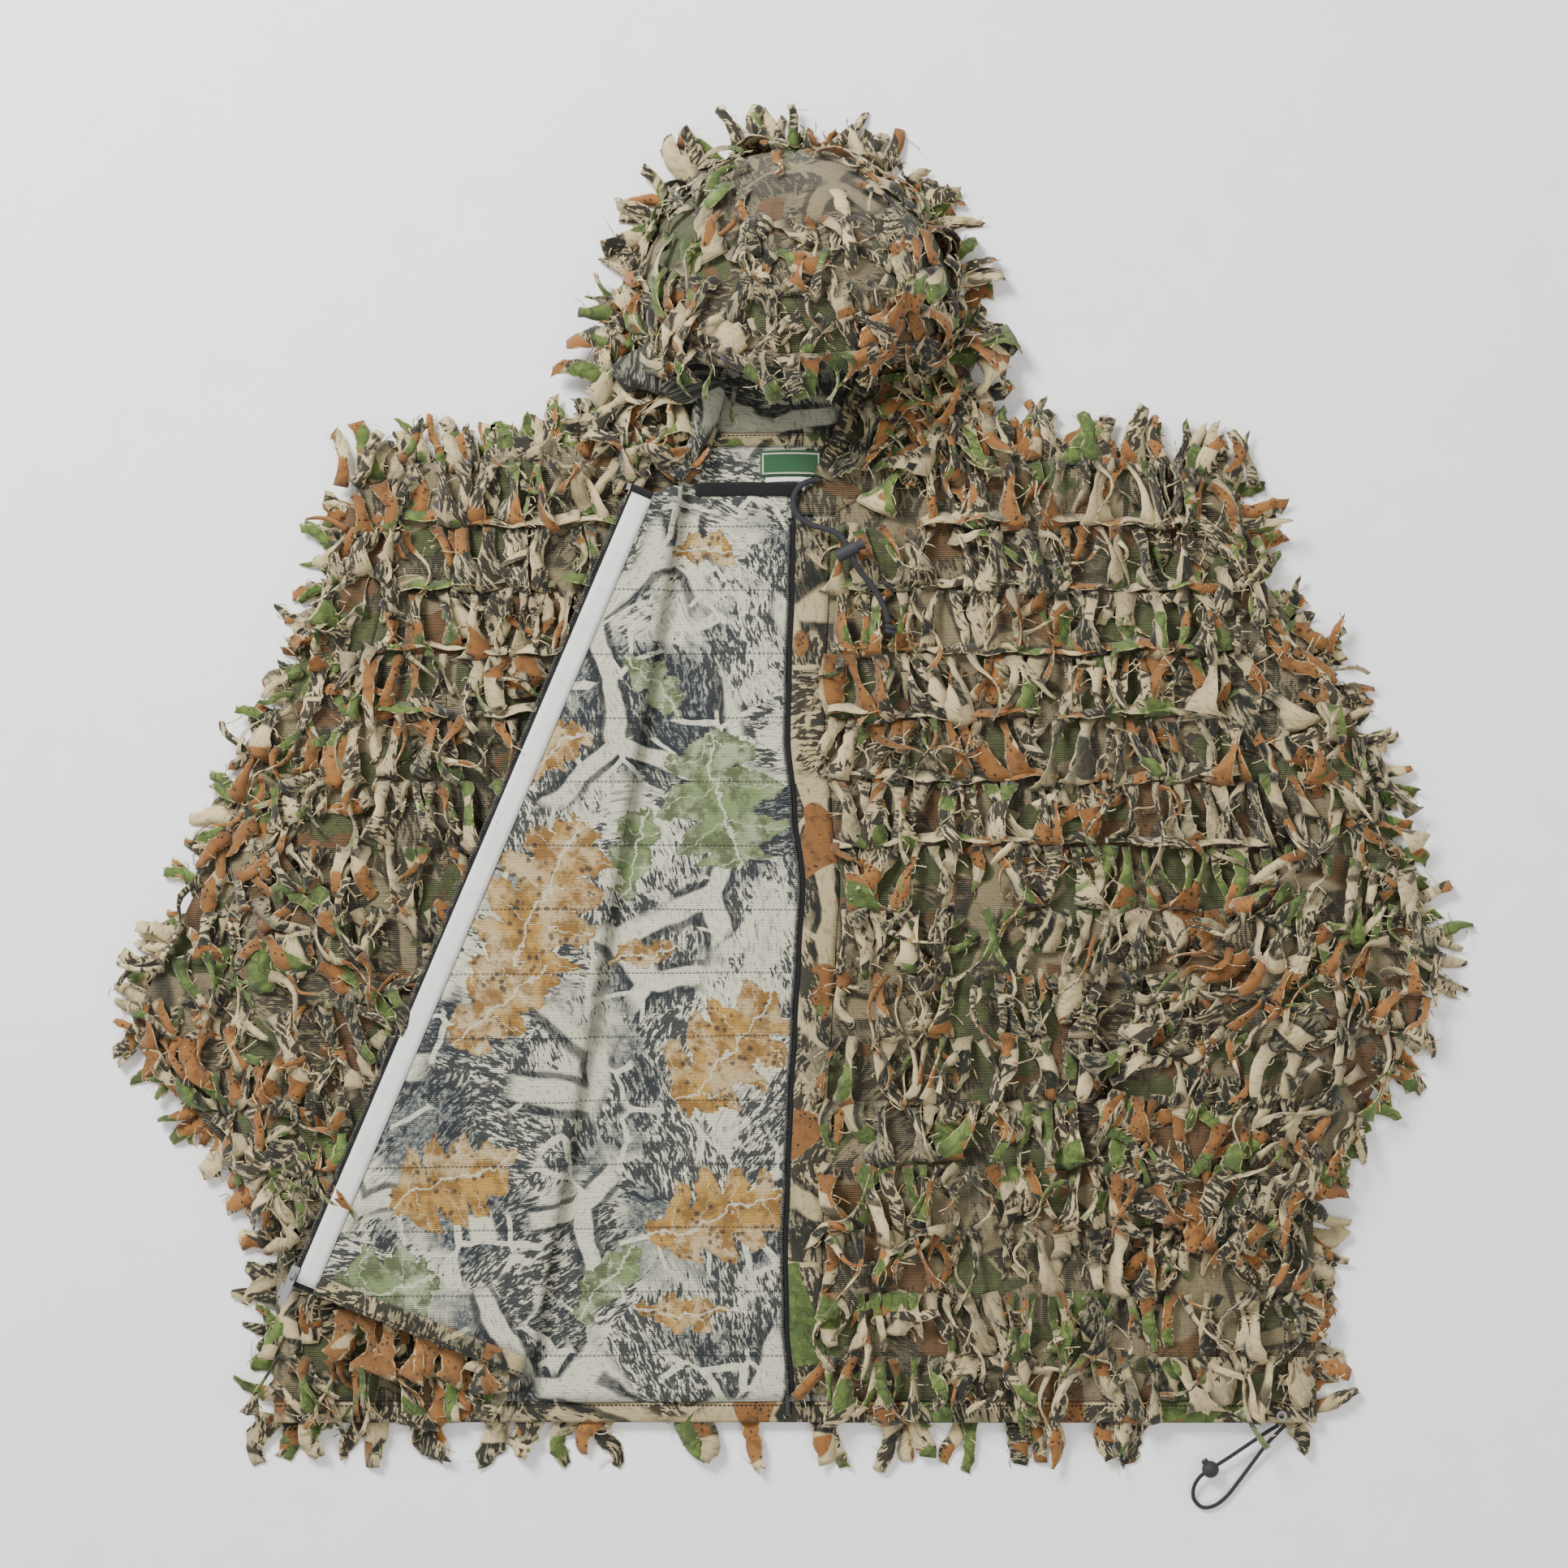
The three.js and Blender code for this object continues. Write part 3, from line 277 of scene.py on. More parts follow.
class JacketSizes(bpy.types.PropertyGroup):
    """Sizes of the cloth, the strips and the ribs woven into the cloth."""
    cloth: FloatProperty(name="Cloth", description="Thickness of a cloth panel", default=1.1 * MM,
                         unit="LENGTH", subtype="DISTANCE")
    strip: FloatProperty(name="Strip", description="Thickness of a cut strip", default=0.7 * MM,
                         unit="LENGTH", subtype="DISTANCE")
    rib: FloatProperty(name="Rib pitch", description="Distance between the cloth's fine ribs",
                       default=1.4 * MM, unit="LENGTH", subtype="DISTANCE")


class JacketColours(bpy.types.PropertyGroup):
    """Colours of the printed cloth on its outer and its pale reverse side."""
    tan: colour("Tan", "Ground of the outer print", 205, 186, 140)
    bark: colour("Bark", "Dark bark of the outer print", 25, 27, 23)
    rust: colour("Rust", "Dead leaves of the outer print", 148, 100, 52)
    olive: colour("Olive", "Green leaves of the outer print", 84, 102, 50)
    grey: colour("Grey", "Shaded ground of the outer print", 104, 102, 80)
    thread: colour("Thread", "Frayed edges of the strips", 208, 190, 146)
    cream: colour("Cream", "Ground of the pale reverse side", 208, 205, 180)
    charcoal: colour("Charcoal", "Bark of the pale reverse side", 34, 38, 42)
    orange: colour("Orange", "Dead leaves of the pale reverse side", 178, 138, 68)
    sage: colour("Sage", "Green leaves of the pale reverse side", 118, 136, 88)
    label: colour("Label", "Woven neck label", 38, 84, 50)
    black: colour("Black", "Tapes, cords and plastic", 19, 19, 20)


def sizes():
    return bpy.context.scene.jacket_sizes


def colours():
    return bpy.context.scene.jacket_colours


# ---------------------------------------------------------------- shader nodes


class Tree:
    """Short calls for adding and joining the nodes of one node tree."""

    def __init__(self, tree):
        self.tree = tree

    def add(self, kind, inputs=(), **settings):
        node = self.tree.nodes.new(kind)
        for name, value in settings.items():
            setattr(node, name, value)
        for key, value in dict(inputs).items():
            self.feed(node.inputs[key], value)
        return node

    def feed(self, socket, value):
        if isinstance(value, bpy.types.NodeSocket):
            self.tree.links.new(value, socket)
        else:
            socket.default_value = value

    def maths(self, operation, *values, clamp=False):
        return self.add("ShaderNodeMath", dict(enumerate(values)), operation=operation,
                        use_clamp=clamp).outputs[0]

    def vector(self, operation, *values):
        node = self.add("ShaderNodeVectorMath", dict(enumerate(values)), operation=operation)
        return node.outputs["Value" if operation in ("LENGTH", "DOT_PRODUCT") else "Vector"]

    def step(self, value, low, high, start=0.0, end=1.0):
        inputs = {"Value": value, "From Min": low, "From Max": high, "To Min": start, "To Max": end}
        return self.add("ShaderNodeMapRange", inputs, interpolation_type="SMOOTHSTEP").outputs[0]

    def mix(self, factor, a, b, blend="MIX"):
        node = self.add("ShaderNodeMix", data_type="RGBA", blend_type=blend)
        for key, value in ((0, factor), (6, a), (7, b)):
            self.feed(node.inputs[key], value)
        return node.outputs[2]

    def noise(self, vector, scale, detail=2.0, rough=0.5, distort=0.0):
        inputs = {"Vector": vector, "Scale": scale, "Detail": detail, "Roughness": rough,
                  "Distortion": distort}
        return self.add("ShaderNodeTexNoise", inputs).outputs

    def cells(self, vector, scale, feature="F1"):
        return self.add("ShaderNodeTexVoronoi", {"Vector": vector, "Scale": scale}, feature=feature).outputs

    def group(self, name, **inputs):
        node = self.add("ShaderNodeGroup", node_tree=GROUPS[name]())
        for key, value in inputs.items():
            self.feed(node.inputs[key.replace("_", " ")], value)
        return node.outputs


def new_group(name, inputs, outputs):
    """A new node group with named inputs and outputs: its tree, what it is given and what it returns."""
    tree = bpy.data.node_groups.new(name, "ShaderNodeTree")
    for direction, sockets in (("INPUT", inputs), ("OUTPUT", outputs)):
        for label, kind, *default in sockets:
            socket = tree.interface.new_socket(label, in_out=direction, socket_type=f"NodeSocket{kind}")
            if default:
                socket.default_value = default[0]
    work = Tree(tree)
    return work, work.add("NodeGroupInput").outputs, work.add("NodeGroupOutput").inputs


def kept(build):
    """Builds a node group once and gives the same one afterwards."""
    def give():
        name = build.__name__
        return bpy.data.node_groups.get(name) or build(name)
    return give


@kept
def woodland_print(name):
    """Short dark bark dashes that run several ways, crossed by pale branches with dark edges."""
    work, given, result = new_group(
        name,
        [("Vector", "Vector"), ("Ground", "Color"), ("Shade", "Color"), ("Bark", "Color"),
         ("Branch", "Color"), ("Bark amount", "Float", 0.5), ("Fineness", "Float", 1.0)],
        [("Color", "Color")],
    )
    at = given["Vector"]
    drift = work.vector("SUBTRACT", work.noise(at, 16, 3)[1], (0.5, 0.5, 0.5))
    bent = work.vector("ADD", at, work.vector("MULTIPLY", drift, (0.026, 0.026, 0)))
    patch = work.cells(bent, 9)
    turn = work.step(work.add("ShaderNodeSeparateColor", {"Color": patch["Color"]}).outputs[0], 0.3, 0.9,
                     -0.3, 1.9)
    turned = work.add("ShaderNodeVectorRotate", {"Vector": bent, "Angle": turn},
                      rotation_type="Z_AXIS").outputs[0]
    sized = work.vector("SCALE", turned)
    work.feed(sized.node.inputs["Scale"], given["Fineness"])
    dashes = work.noise(work.vector("MULTIPLY", sized, (420, 110, 1)), 1, 3, 0.62)[0]
    coarse = work.noise(work.vector("MULTIPLY", sized, (150, 46, 1)), 1, 2, 0.5)[0]
    field = work.noise(bent, 12, 3, 0.6)[0]
    edge = work.maths("SUBTRACT", 1.0, given["Bark amount"])
    region = work.step(field, work.maths("SUBTRACT", edge, 0.09), work.maths("ADD", edge, 0.05), 0.06, 1)
    drawn = work.maths("ADD", work.maths("MULTIPLY", dashes, 0.62), work.maths("MULTIPLY", coarse, 0.38))
    cut_at = work.maths("SUBTRACT", 0.62, work.maths("MULTIPLY", region, 0.155))
    bark = work.step(work.maths("SUBTRACT", drawn, cut_at), 0.0, 0.022)
    bough = work.cells(work.vector("ADD", bent, (0.31, 0.17, 0)), 9.5, "DISTANCE_TO_EDGE")["Distance"]
    twig = work.cells(work.vector("ADD", bent, (0.11, 0.57, 0)), 26, "DISTANCE_TO_EDGE")["Distance"]
    gate = work.step(work.noise(at, 7, 1)[0], 0.46, 0.5)
    thin_gate = work.step(work.noise(at, 19, 1)[0], 0.52, 0.56)
    core = work.maths("MULTIPLY", work.step(bough, 0.07, 0.05), gate)
    rim = work.maths("MULTIPLY", work.step(bough, 0.115, 0.09), gate)
    thin_core = work.maths("MULTIPLY", work.step(twig, 0.05, 0.035), thin_gate)
    shade = work.step(work.noise(bent, 10, 3, 0.6)[0], 0.46, 0.6)
    fleck = work.noise(at, 260, 3, 0.7)[0]
    streak = work.noise(work.vector("MULTIPLY", sized, (300, 60, 1)), 1, 3, 0.65)[0]
    streaked = work.mix(work.step(streak, 0.46, 0.7, 0, 0.75), given["Ground"], given["Shade"])
    ground = work.mix(work.maths("MULTIPLY", shade, work.step(fleck, 0.3, 0.6, 0.45, 1)), streaked,
                      given["Shade"])
    marked = work.mix(work.maths("MULTIPLY", bark, 0.94), ground, given["Bark"])
    ringed = work.mix(work.maths("MULTIPLY", rim, 0.8), marked, given["Bark"])
    branch_tone = work.mix(work.step(dashes, 0.5, 0.66, 0, 0.5), given["Branch"], given["Shade"])
    branched = work.mix(work.maths("MAXIMUM", core, thin_core), ringed, branch_tone)
    work.feed(result["Color"], branched)
    return work.tree


@kept
def leaf_zones(name):
    """Patches of rust and green leaves with dark spots and veins, laid over a print."""
    work, given, result = new_group(
        name,
        [("Vector", "Vector"), ("Color", "Color"), ("Rust", "Color"), ("Green", "Color"), ("Dark", "Color"),
         ("Rust amount", "Float", 0.5), ("Green amount", "Float", 0.4)],
        [("Color", "Color")],
    )
    at = given["Vector"]
    rust_field = work.noise(at, 13, 2, 0.55, 0.5)[0]
    green_field = work.noise(work.vector("ADD", at, (7.3, 2.1, 0)), 15, 2, 0.55, 0.4)[0]
    rust_edge = work.maths("SUBTRACT", 1.0, given["Rust amount"])
    green_edge = work.maths("SUBTRACT", 1.0, given["Green amount"])
    rust = work.step(rust_field, rust_edge, work.maths("ADD", rust_edge, 0.012))
    green = work.step(green_field, green_edge, work.maths("ADD", green_edge, 0.012))
    spots = work.step(work.cells(at, 240)["Distance"], 0.34, 0.2)
    spotted = work.maths("MULTIPLY", spots, work.step(work.noise(at, 70, 2)[0], 0.44, 0.52))
    bend = work.vector("MULTIPLY", work.noise(at, 55, 2)[1], (0.03, 0.03, 0.0))
    veins = work.step(work.cells(work.vector("ADD", at, bend), 62, "DISTANCE_TO_EDGE")["Distance"], 0.07,
                      0.01)
    tone = work.noise(at, 90, 3, 0.65)[0]
    deep = work.mix(0.5, given["Rust"], given["Dark"])
    rusty = work.mix(work.step(tone, 0.48, 0.66, 0, 0.9), given["Rust"], deep)
    rusty = work.mix(work.maths("MULTIPLY", spotted, 0.85), rusty, given["Dark"])
    bright = work.mix(0.2, given["Green"], (0.4, 0.55, 0.12, 1))
    greenish = work.mix(work.step(tone, 0.42, 0.62), given["Green"], bright)
    greenish = work.mix(work.maths("MULTIPLY", veins, 0.45), greenish, given["Dark"])
    with_rust = work.mix(rust, given["Color"], rusty)
    work.feed(result["Color"], work.mix(green, with_rust, greenish))
    return work.tree


@kept
def lobed_leaf(name):
    """One long leaf with rounded lobes: its mask, and the mask of its veins."""
    work, given, result = new_group(
        name,
        [("Vector", "Vector"), ("Centre", "Vector"), ("Turn", "Float", 0.0), ("Length", "Float", 0.1),
         ("Width", "Float", 0.5), ("Lobes", "Float", 3.5)],
        [("Leaf", "Float"), ("Veins", "Float"), ("Rim", "Float")],
    )
    wander = work.vector("MULTIPLY", work.vector("SUBTRACT", work.noise(given["Vector"], 38, 4, 0.62)[1],
                                                 (0.5, 0.5, 0.5)),
                         (0.034, 0.034, 0))
    away = work.vector("ADD", work.vector("SUBTRACT", given["Vector"], given["Centre"]), wander)
    turned = work.add("ShaderNodeVectorRotate", {"Vector": away, "Angle": given["Turn"]},
                      rotation_type="Z_AXIS").outputs[0]
    parts = work.add("ShaderNodeSeparateXYZ", {"Vector": turned}).outputs
    half = work.maths("MULTIPLY", given["Length"], 0.5)
    t = work.maths("DIVIDE", parts[0], half)
    across = work.maths("DIVIDE", work.maths("ABSOLUTE", parts[1]),
                        work.maths("MULTIPLY", half, given["Width"]))
    body = work.maths("SQRT", work.maths("MAXIMUM", work.maths("SUBTRACT", 1.0,
                                                               work.maths("MULTIPLY", t, t)), 0.0))
    slope = work.maths("ADD", t, work.maths("MULTIPLY", across, -0.22))
    wave = work.maths("ABSOLUTE", work.maths("SINE", work.maths("MULTIPLY", slope,
                                                                work.maths("MULTIPLY", given["Lobes"],
                                                                           1.571))))
    width = work.maths("MULTIPLY", body, work.maths("ADD", 0.42, work.maths("MULTIPLY", wave, 0.62)))
    margin = work.maths("SUBTRACT", width, across)
    leaf = work.step(margin, 0.0, 0.03)
    rim = work.maths("MULTIPLY", leaf, work.step(margin, 0.14, 0.03))
    rib = work.step(work.maths("ABSOLUTE", parts[1]), 0.0014, 0.0006)
    side_rib = work.step(work.maths("ABSOLUTE", work.maths("COSINE",
                                                           work.maths("MULTIPLY", slope,
                                                                      work.maths("MULTIPLY", given["Lobes"],
                                                                                 1.571)))),
                         0.06, 0.02)
    veins = work.maths("MULTIPLY", leaf, work.maths("MAXIMUM", rib, side_rib))
    work.feed(result["Leaf"], leaf)
    work.feed(result["Veins"], veins)
    work.feed(result["Rim"], rim)
    return work.tree


@kept
def rib_weave(name):
    """Fine raised ribs that run across the cloth, with a little unevenness, as a height from 0 to 1."""
    work, given, result = new_group(
        name, [("Vector", "Vector"), ("Pitch", "Float", 0.0014)], [("Height", "Float"), ("Line", "Float")])
    parts = work.add("ShaderNodeSeparateXYZ", {"Vector": given["Vector"]}).outputs
    uneven = work.noise(given["Vector"], 60, 2)[0]
    phase = work.maths("ADD", work.maths("DIVIDE", parts[1], given["Pitch"]),
                       work.maths("MULTIPLY", uneven, 1.2))
    wave = work.maths("SINE", work.maths("MULTIPLY", phase, math.tau))
    thread = work.maths("SINE", work.maths("MULTIPLY", work.maths("DIVIDE", parts[0], given["Pitch"]),
                                           math.tau * 1.7))
    height = work.maths("ADD", 0.5, work.maths("ADD", work.maths("MULTIPLY", wave, 0.35),
                                                work.maths("MULTIPLY", thread, 0.12)))
    work.feed(result["Height"], height)
    work.feed(result["Line"], work.step(wave, 0.2, 1))
    return work.tree


@kept
def stitch_row(name):
    """Dashes of thread along lines at an even pitch up the cloth."""
    work, given, result = new_group(
        name, [("Vector", "Vector"), ("Pitch", "Float", 0.047), ("Start", "Float", 0.0)],
        [("Thread", "Float")])
    parts = work.add("ShaderNodeSeparateXYZ", {"Vector": given["Vector"]}).outputs
    sway = work.maths("MULTIPLY", work.noise(given["Vector"], 7, 1)[0], 0.004)
    height = work.maths("SUBTRACT", work.maths("ADD", parts[1], sway), given["Start"])
    from_line = work.maths("PINGPONG", height, work.maths("MULTIPLY", given["Pitch"], 0.5))
    line = work.step(from_line, 0.0009, 0.0004)
    dash = work.step(work.maths("FRACT", work.maths("DIVIDE", parts[0], 0.0032)), 0.25, 0.4)
    work.feed(result["Thread"], work.maths("MULTIPLY", line, dash))
    return work.tree


@kept
def plain_weave(name):
    """A woven tape or braid: a small over-and-under pattern as a height."""
    work, given, result = new_group(name, [("Vector", "Vector"), ("Pitch", "Float", 0.0008)],
                                    [("Height", "Float")])
    checks = work.vector("DIVIDE", given["Vector"],
                         work.add("ShaderNodeCombineXYZ", {0: given["Pitch"], 1: given["Pitch"],
                                                           2: 1.0}).outputs[0])
    parts = work.add("ShaderNodeSeparateXYZ", {"Vector": checks}).outputs
    warp = work.maths("SINE", work.maths("MULTIPLY", work.maths("ADD", parts[0], parts[1]), math.pi))
    weft = work.maths("SINE", work.maths("MULTIPLY", work.maths("SUBTRACT", parts[0], parts[1]), math.pi))
    work.feed(result["Height"], work.maths("ADD", 0.5, work.maths("MULTIPLY",
                                                                  work.maths("MULTIPLY", warp, weft), 0.5)))
    return work.tree


@kept
def edge_wear(name):
    """Scuffs on a hard surface, as a mask and a small change of roughness."""
    work, given, result = new_group(
        name, [("Vector", "Vector"), ("Scale", "Float", 300.0)], [("Scuff", "Float"), ("Grain", "Float")])
    scuff = work.step(work.noise(given["Vector"], given["Scale"], 4, 0.6)[0], 0.52, 0.68)
    grain = work.noise(given["Vector"], work.maths("MULTIPLY", given["Scale"], 5.0), 2)[0]
    work.feed(result["Scuff"], scuff)
    work.feed(result["Grain"], grain)
    return work.tree


GROUPS = {
    "woodland_print": woodland_print,
    "leaf_zones": leaf_zones,
    "lobed_leaf": lobed_leaf,
    "rib_weave": rib_weave,
    "stitch_row": stitch_row,
    "plain_weave": plain_weave,
    "edge_wear": edge_wear,
}


# ---------------------------------------------------------------- finishes


def finish_tree(name):
    """A new material, its node tree and its shader."""
    material = bpy.data.materials.new(name)
    material.use_nodes = True
    work = Tree(material.node_tree)
    shader = material.node_tree.nodes["Principled BSDF"]
    return material, work, shader


def once(build):
    """Makes a finish the first time it is asked for."""
    def give():
        return bpy.data.materials.get(build.__name__) or build(build.__name__)
    return give


def bump(work, shader, height, distance, strength=1.0):
    node = work.add("ShaderNodeBump", {"Height": height, "Distance": distance, "Strength": strength})
    work.feed(shader.inputs["Normal"], node.outputs[0])


def fabric_shader(shader, rough=0.92, sheen=0.12):
    shader.inputs["Roughness"].default_value = rough
    shader.inputs["Specular IOR Level"].default_value = 0.2
    shader.inputs["Sheen Weight"].default_value = sheen
    shader.inputs["Sheen Roughness"].default_value = 0.6


def outer_print(work, vector, darker=0.0, rust=0.5, green=0.4, bark=0.5):
    c = colours()
    base = work.group("woodland_print", Vector=vector, Ground=c.tan, Shade=c.grey, Bark=c.bark,
                      Branch=c.tan,
                      Bark_amount=bark)
    leaves = work.group("leaf_zones", Vector=vector, Color=base["Color"], Rust=c.rust, Green=c.olive,
                        Dark=c.bark,
                        Rust_amount=rust, Green_amount=green)
    if not darker:
        return leaves["Color"]
    return work.mix(darker, leaves["Color"], (0.012, 0.012, 0.01, 1))


@once
def strip_cloth(name):
    """The printed side of a cut strip, with pale frayed threads along its cut edges."""
    material, work, shader = finish_tree(name)
    cloth = work.add("ShaderNodeUVMap", uv_map="cloth").outputs[0]
    print_colour = outer_print(work, cloth, rust=0.45, green=0.42, bark=0.56)
    fray = work.add("ShaderNodeAttribute", attribute_name="fray").outputs["Fac"]
    loose = work.noise(cloth, 900, 2, 0.7)[0]
    edge = work.step(work.maths("ADD", fray, work.maths("MULTIPLY", loose, 0.4)), 1.02, 1.2)
    patchy = work.step(work.noise(cloth, 170, 2)[0], 0.44, 0.6)
    frayed = work.mix(work.maths("MULTIPLY", edge, patchy), print_colour, colours().thread)
    # Painted shade: the colour is darkened towards black where the tone attribute is below 1.
    tone = work.add("ShaderNodeAttribute", attribute_name="tone").outputs["Fac"]
    work.feed(shader.inputs["Base Color"], work.mix(work.maths("SUBTRACT", 1.0, tone), frayed,
                                                    (0, 0, 0, 1)))
    fabric_shader(shader)
    ribs = work.group("rib_weave", Vector=cloth, Pitch=sizes().rib)
    crumple = work.noise(cloth, 90, 3, 0.6)[0]
    height = work.maths("ADD", work.maths("MULTIPLY", ribs["Height"], 0.25), crumple)
    bump(work, shader, height, 0.0012, 0.8)
    return material


@once
def strip_reverse(name):
    """The pale side of a cut strip."""
    material, work, shader = finish_tree(name)
    c = colours()
    cloth = work.add("ShaderNodeUVMap", uv_map="cloth").outputs[0]
    base = work.group("woodland_print", Vector=cloth, Ground=c.tan, Shade=c.grey, Bark=c.charcoal,
                      Branch=c.thread,
                      Bark_amount=0.4)
    leaves = work.group("leaf_zones", Vector=cloth, Color=base["Color"], Rust=c.rust, Green=c.sage,
                        Dark=c.charcoal, Rust_amount=0.45, Green_amount=0.4)
    fray = work.add("ShaderNodeAttribute", attribute_name="fray").outputs["Fac"]
    edge = work.step(work.maths("ADD", fray, work.maths("MULTIPLY", work.noise(cloth, 900, 2, 0.7)[0],
                                                        0.35)), 0.98, 1.16)
    pale = work.mix(0.12, leaves["Color"], c.grey)
    patchy = work.step(work.noise(cloth, 170, 2)[0], 0.44, 0.6)
    frayed = work.mix(work.maths("MULTIPLY", edge, patchy), pale, c.thread)
    # Painted shade: the colour is darkened towards black where the tone attribute is below 1.
    tone = work.add("ShaderNodeAttribute", attribute_name="tone").outputs["Fac"]
    work.feed(shader.inputs["Base Color"], work.mix(work.maths("SUBTRACT", 1.0, tone), frayed,
                                                    (0, 0, 0, 1)))
    fabric_shader(shader)
    bump(work, shader, work.noise(cloth, 90, 3, 0.6)[0], 0.0012, 0.7)
    return material


@once
def outer_cloth(name):
    """The printed panels under the strips, with ribs."""
    material, work, shader = finish_tree(name)
    cloth = work.add("ShaderNodeUVMap", uv_map="cloth").outputs[0]
    # Painted shade: the print is mixed 70 % of the way towards near-black, for the shade of the strips over
    # the cloth.
    shade = outer_print(work, cloth, darker=0.7, rust=0.43, green=0.45, bark=0.56)
    ribs = work.group("rib_weave", Vector=cloth, Pitch=sizes().rib)
    lined = work.mix(work.maths("MULTIPLY", ribs["Line"], 0.16), shade, colours().tan)
    work.feed(shader.inputs["Base Color"], lined)
    fabric_shader(shader)
    bump(work, shader, ribs["Height"], 0.0006, 0.9)
    return material


@once
def band_cloth(name):
    """Folded hems and cuffs: a rusty part of the print, with a row of stitching."""
    material, work, shader = finish_tree(name)
    c = colours()
    cloth = work.add("ShaderNodeUVMap", uv_map="cloth").outputs[0]
    shade = outer_print(work, cloth, darker=0.35, rust=0.42, green=0.38, bark=0.56)
    ribs = work.group("rib_weave", Vector=cloth, Pitch=sizes().rib)
    edge = work.add("ShaderNodeUVMap", uv_map="band").outputs[0]
    along = work.add("ShaderNodeSeparateXYZ", {"Vector": edge}).outputs
    thread = work.maths("MULTIPLY", work.step(work.maths("ABSOLUTE",
                                                         work.maths("SUBTRACT", along[1], 0.82)), 0.05,
                                              0.025),
                        work.step(work.maths("FRACT", work.maths("DIVIDE", along[0], 0.0032)), 0.25, 0.4))
    work.feed(shader.inputs["Base Color"], work.mix(thread, shade, c.bark))
    fabric_shader(shader)
    height = work.maths("SUBTRACT", work.maths("MULTIPLY", ribs["Height"], 0.5),
                        work.maths("MULTIPLY", thread, 0.8))
    bump(work, shader, height, 0.0007, 0.9)
    return material


@once
def casing_cloth(name):
    """The hood's rolled brim: the print with more of its dark bark, and painted shade that darkens it halfway
    towards black.
    """
    material, work, shader = finish_tree(name)
    cloth = work.add("ShaderNodeUVMap", uv_map="cloth").outputs[0]
    # Painted shade: the print is mixed halfway towards near-black.
    shade = outer_print(work, cloth, darker=0.5, rust=0.36, green=0.4, bark=0.62)
    ribs = work.group("rib_weave", Vector=cloth, Pitch=sizes().rib)
    work.feed(shader.inputs["Base Color"], shade)
    fabric_shader(shader)
    bump(work, shader, ribs["Height"], 0.0006, 0.9)
    return material


# Leaves printed on the lining: centre on the plan, turn, length, width, lobes and their colour.
LINING_LEAVES = [
    ((-188, -95), 1.15, 150, 0.62, 5.5, "orange"), ((-215, -165), 0.75, 90, 0.6, 3.5, "orange"),
    ((-252, -294), 0.35, 92, 0.75, 4.5, "orange"), ((-300, -372), 0.25, 84, 0.8, 3.0, "sage"),
    ((-54, -18), -1.35, 104, 0.9, 3.5, "sage"), ((-50, -200), 0.85, 112, 0.72, 4.5, "orange"),
    ((-56, -322), 0.3, 104, 0.7, 4.5, "orange"), ((-84, -392), 0.05, 66, 0.45, 2.5, "orange"),
    ((-66, 168), 0.1, 46, 0.6, 2.0, "orange"), ((-118, -52), 1.3, 70, 0.5, 2.5, "sage"),
    ((-112, -128), 0.2, 52, 0.4, 2.0, "orange"), ((-104, 72), -0.9, 60, 0.5, 2.5, "sage"),
    ((-30, 276), -0.6, 62, 0.6, 3.0, "sage"), ((-140, -372), 0.9, 70, 0.5, 3.0, "sage"),
    ((-176, 20), 0.6, 56, 0.6, 3.5, "orange"),
]


@once
def lining_cloth(name):
    """The pale reverse side of the print, with scattered leaves, ribs and lines of quilting."""
    material, work, shader = finish_tree(name)
    c = colours()
    cloth = work.add("ShaderNodeUVMap", uv_map="cloth").outputs[0]
    grey = (c.charcoal[0] * 4.2, c.charcoal[1] * 4.2, c.charcoal[2] * 3.7, 1)
    shade = work.group("woodland_print", Vector=cloth, Ground=c.cream, Shade=grey, Bark=c.charcoal,
                       Branch=c.cream,
                       Bark_amount=0.53, Fineness=1.35)["Color"]
    spots = work.step(work.cells(cloth, 165)["Distance"], 0.4, 0.24)
    spots = work.maths("MULTIPLY", spots, work.step(work.noise(cloth, 70, 1)[0], 0.46, 0.54))
    soft = work.noise(cloth, 52, 4, 0.68)[0]
    broad = work.noise(cloth, 24, 2)[0]
    for (x, y), turn, length, width, lobes, look in LINING_LEAVES:
        motif = work.group("lobed_leaf", Vector=cloth, Centre=(x * MM, y * MM, 0), Turn=-turn,
                           Length=length * MM,
                           Width=width, Lobes=lobes)
        tone = getattr(c, look)
        deep = (tone[0] * 0.5, tone[1] * 0.46, tone[2] * 0.5, 1)
        pale = work.mix(0.35, tone, c.cream)
        leaf = work.mix(work.step(broad, 0.4, 0.56), tone, pale)
        leaf = work.mix(work.step(soft, 0.42, 0.6), leaf, deep)
        leaf = work.mix(work.maths("MULTIPLY", motif["Rim"], 0.6), leaf, deep)
        if look == "orange":
            leaf = work.mix(work.maths("MULTIPLY", spots, 0.75), leaf, c.charcoal)
        leaf = work.mix(work.maths("MULTIPLY", motif["Veins"], 0.75), leaf, c.cream)
        shade = work.mix(motif["Leaf"], shade, leaf)
    ribs = work.group("rib_weave", Vector=cloth, Pitch=sizes().rib)
    quilting = work.group("stitch_row", Vector=cloth, Pitch=0.047, Start=0.0)["Thread"]
    sewn = work.mix(work.maths("MULTIPLY", quilting, 0.7), shade, c.charcoal)
    dull = work.mix(work.maths("MULTIPLY", ribs["Line"], 0.14), sewn, c.charcoal)
    work.feed(shader.inputs["Base Color"], dull)
    fabric_shader(shader)
    height = work.maths("SUBTRACT", ribs["Height"], work.maths("MULTIPLY", quilting, 0.6))
    bump(work, shader, height, 0.0006, 0.9)
    return material


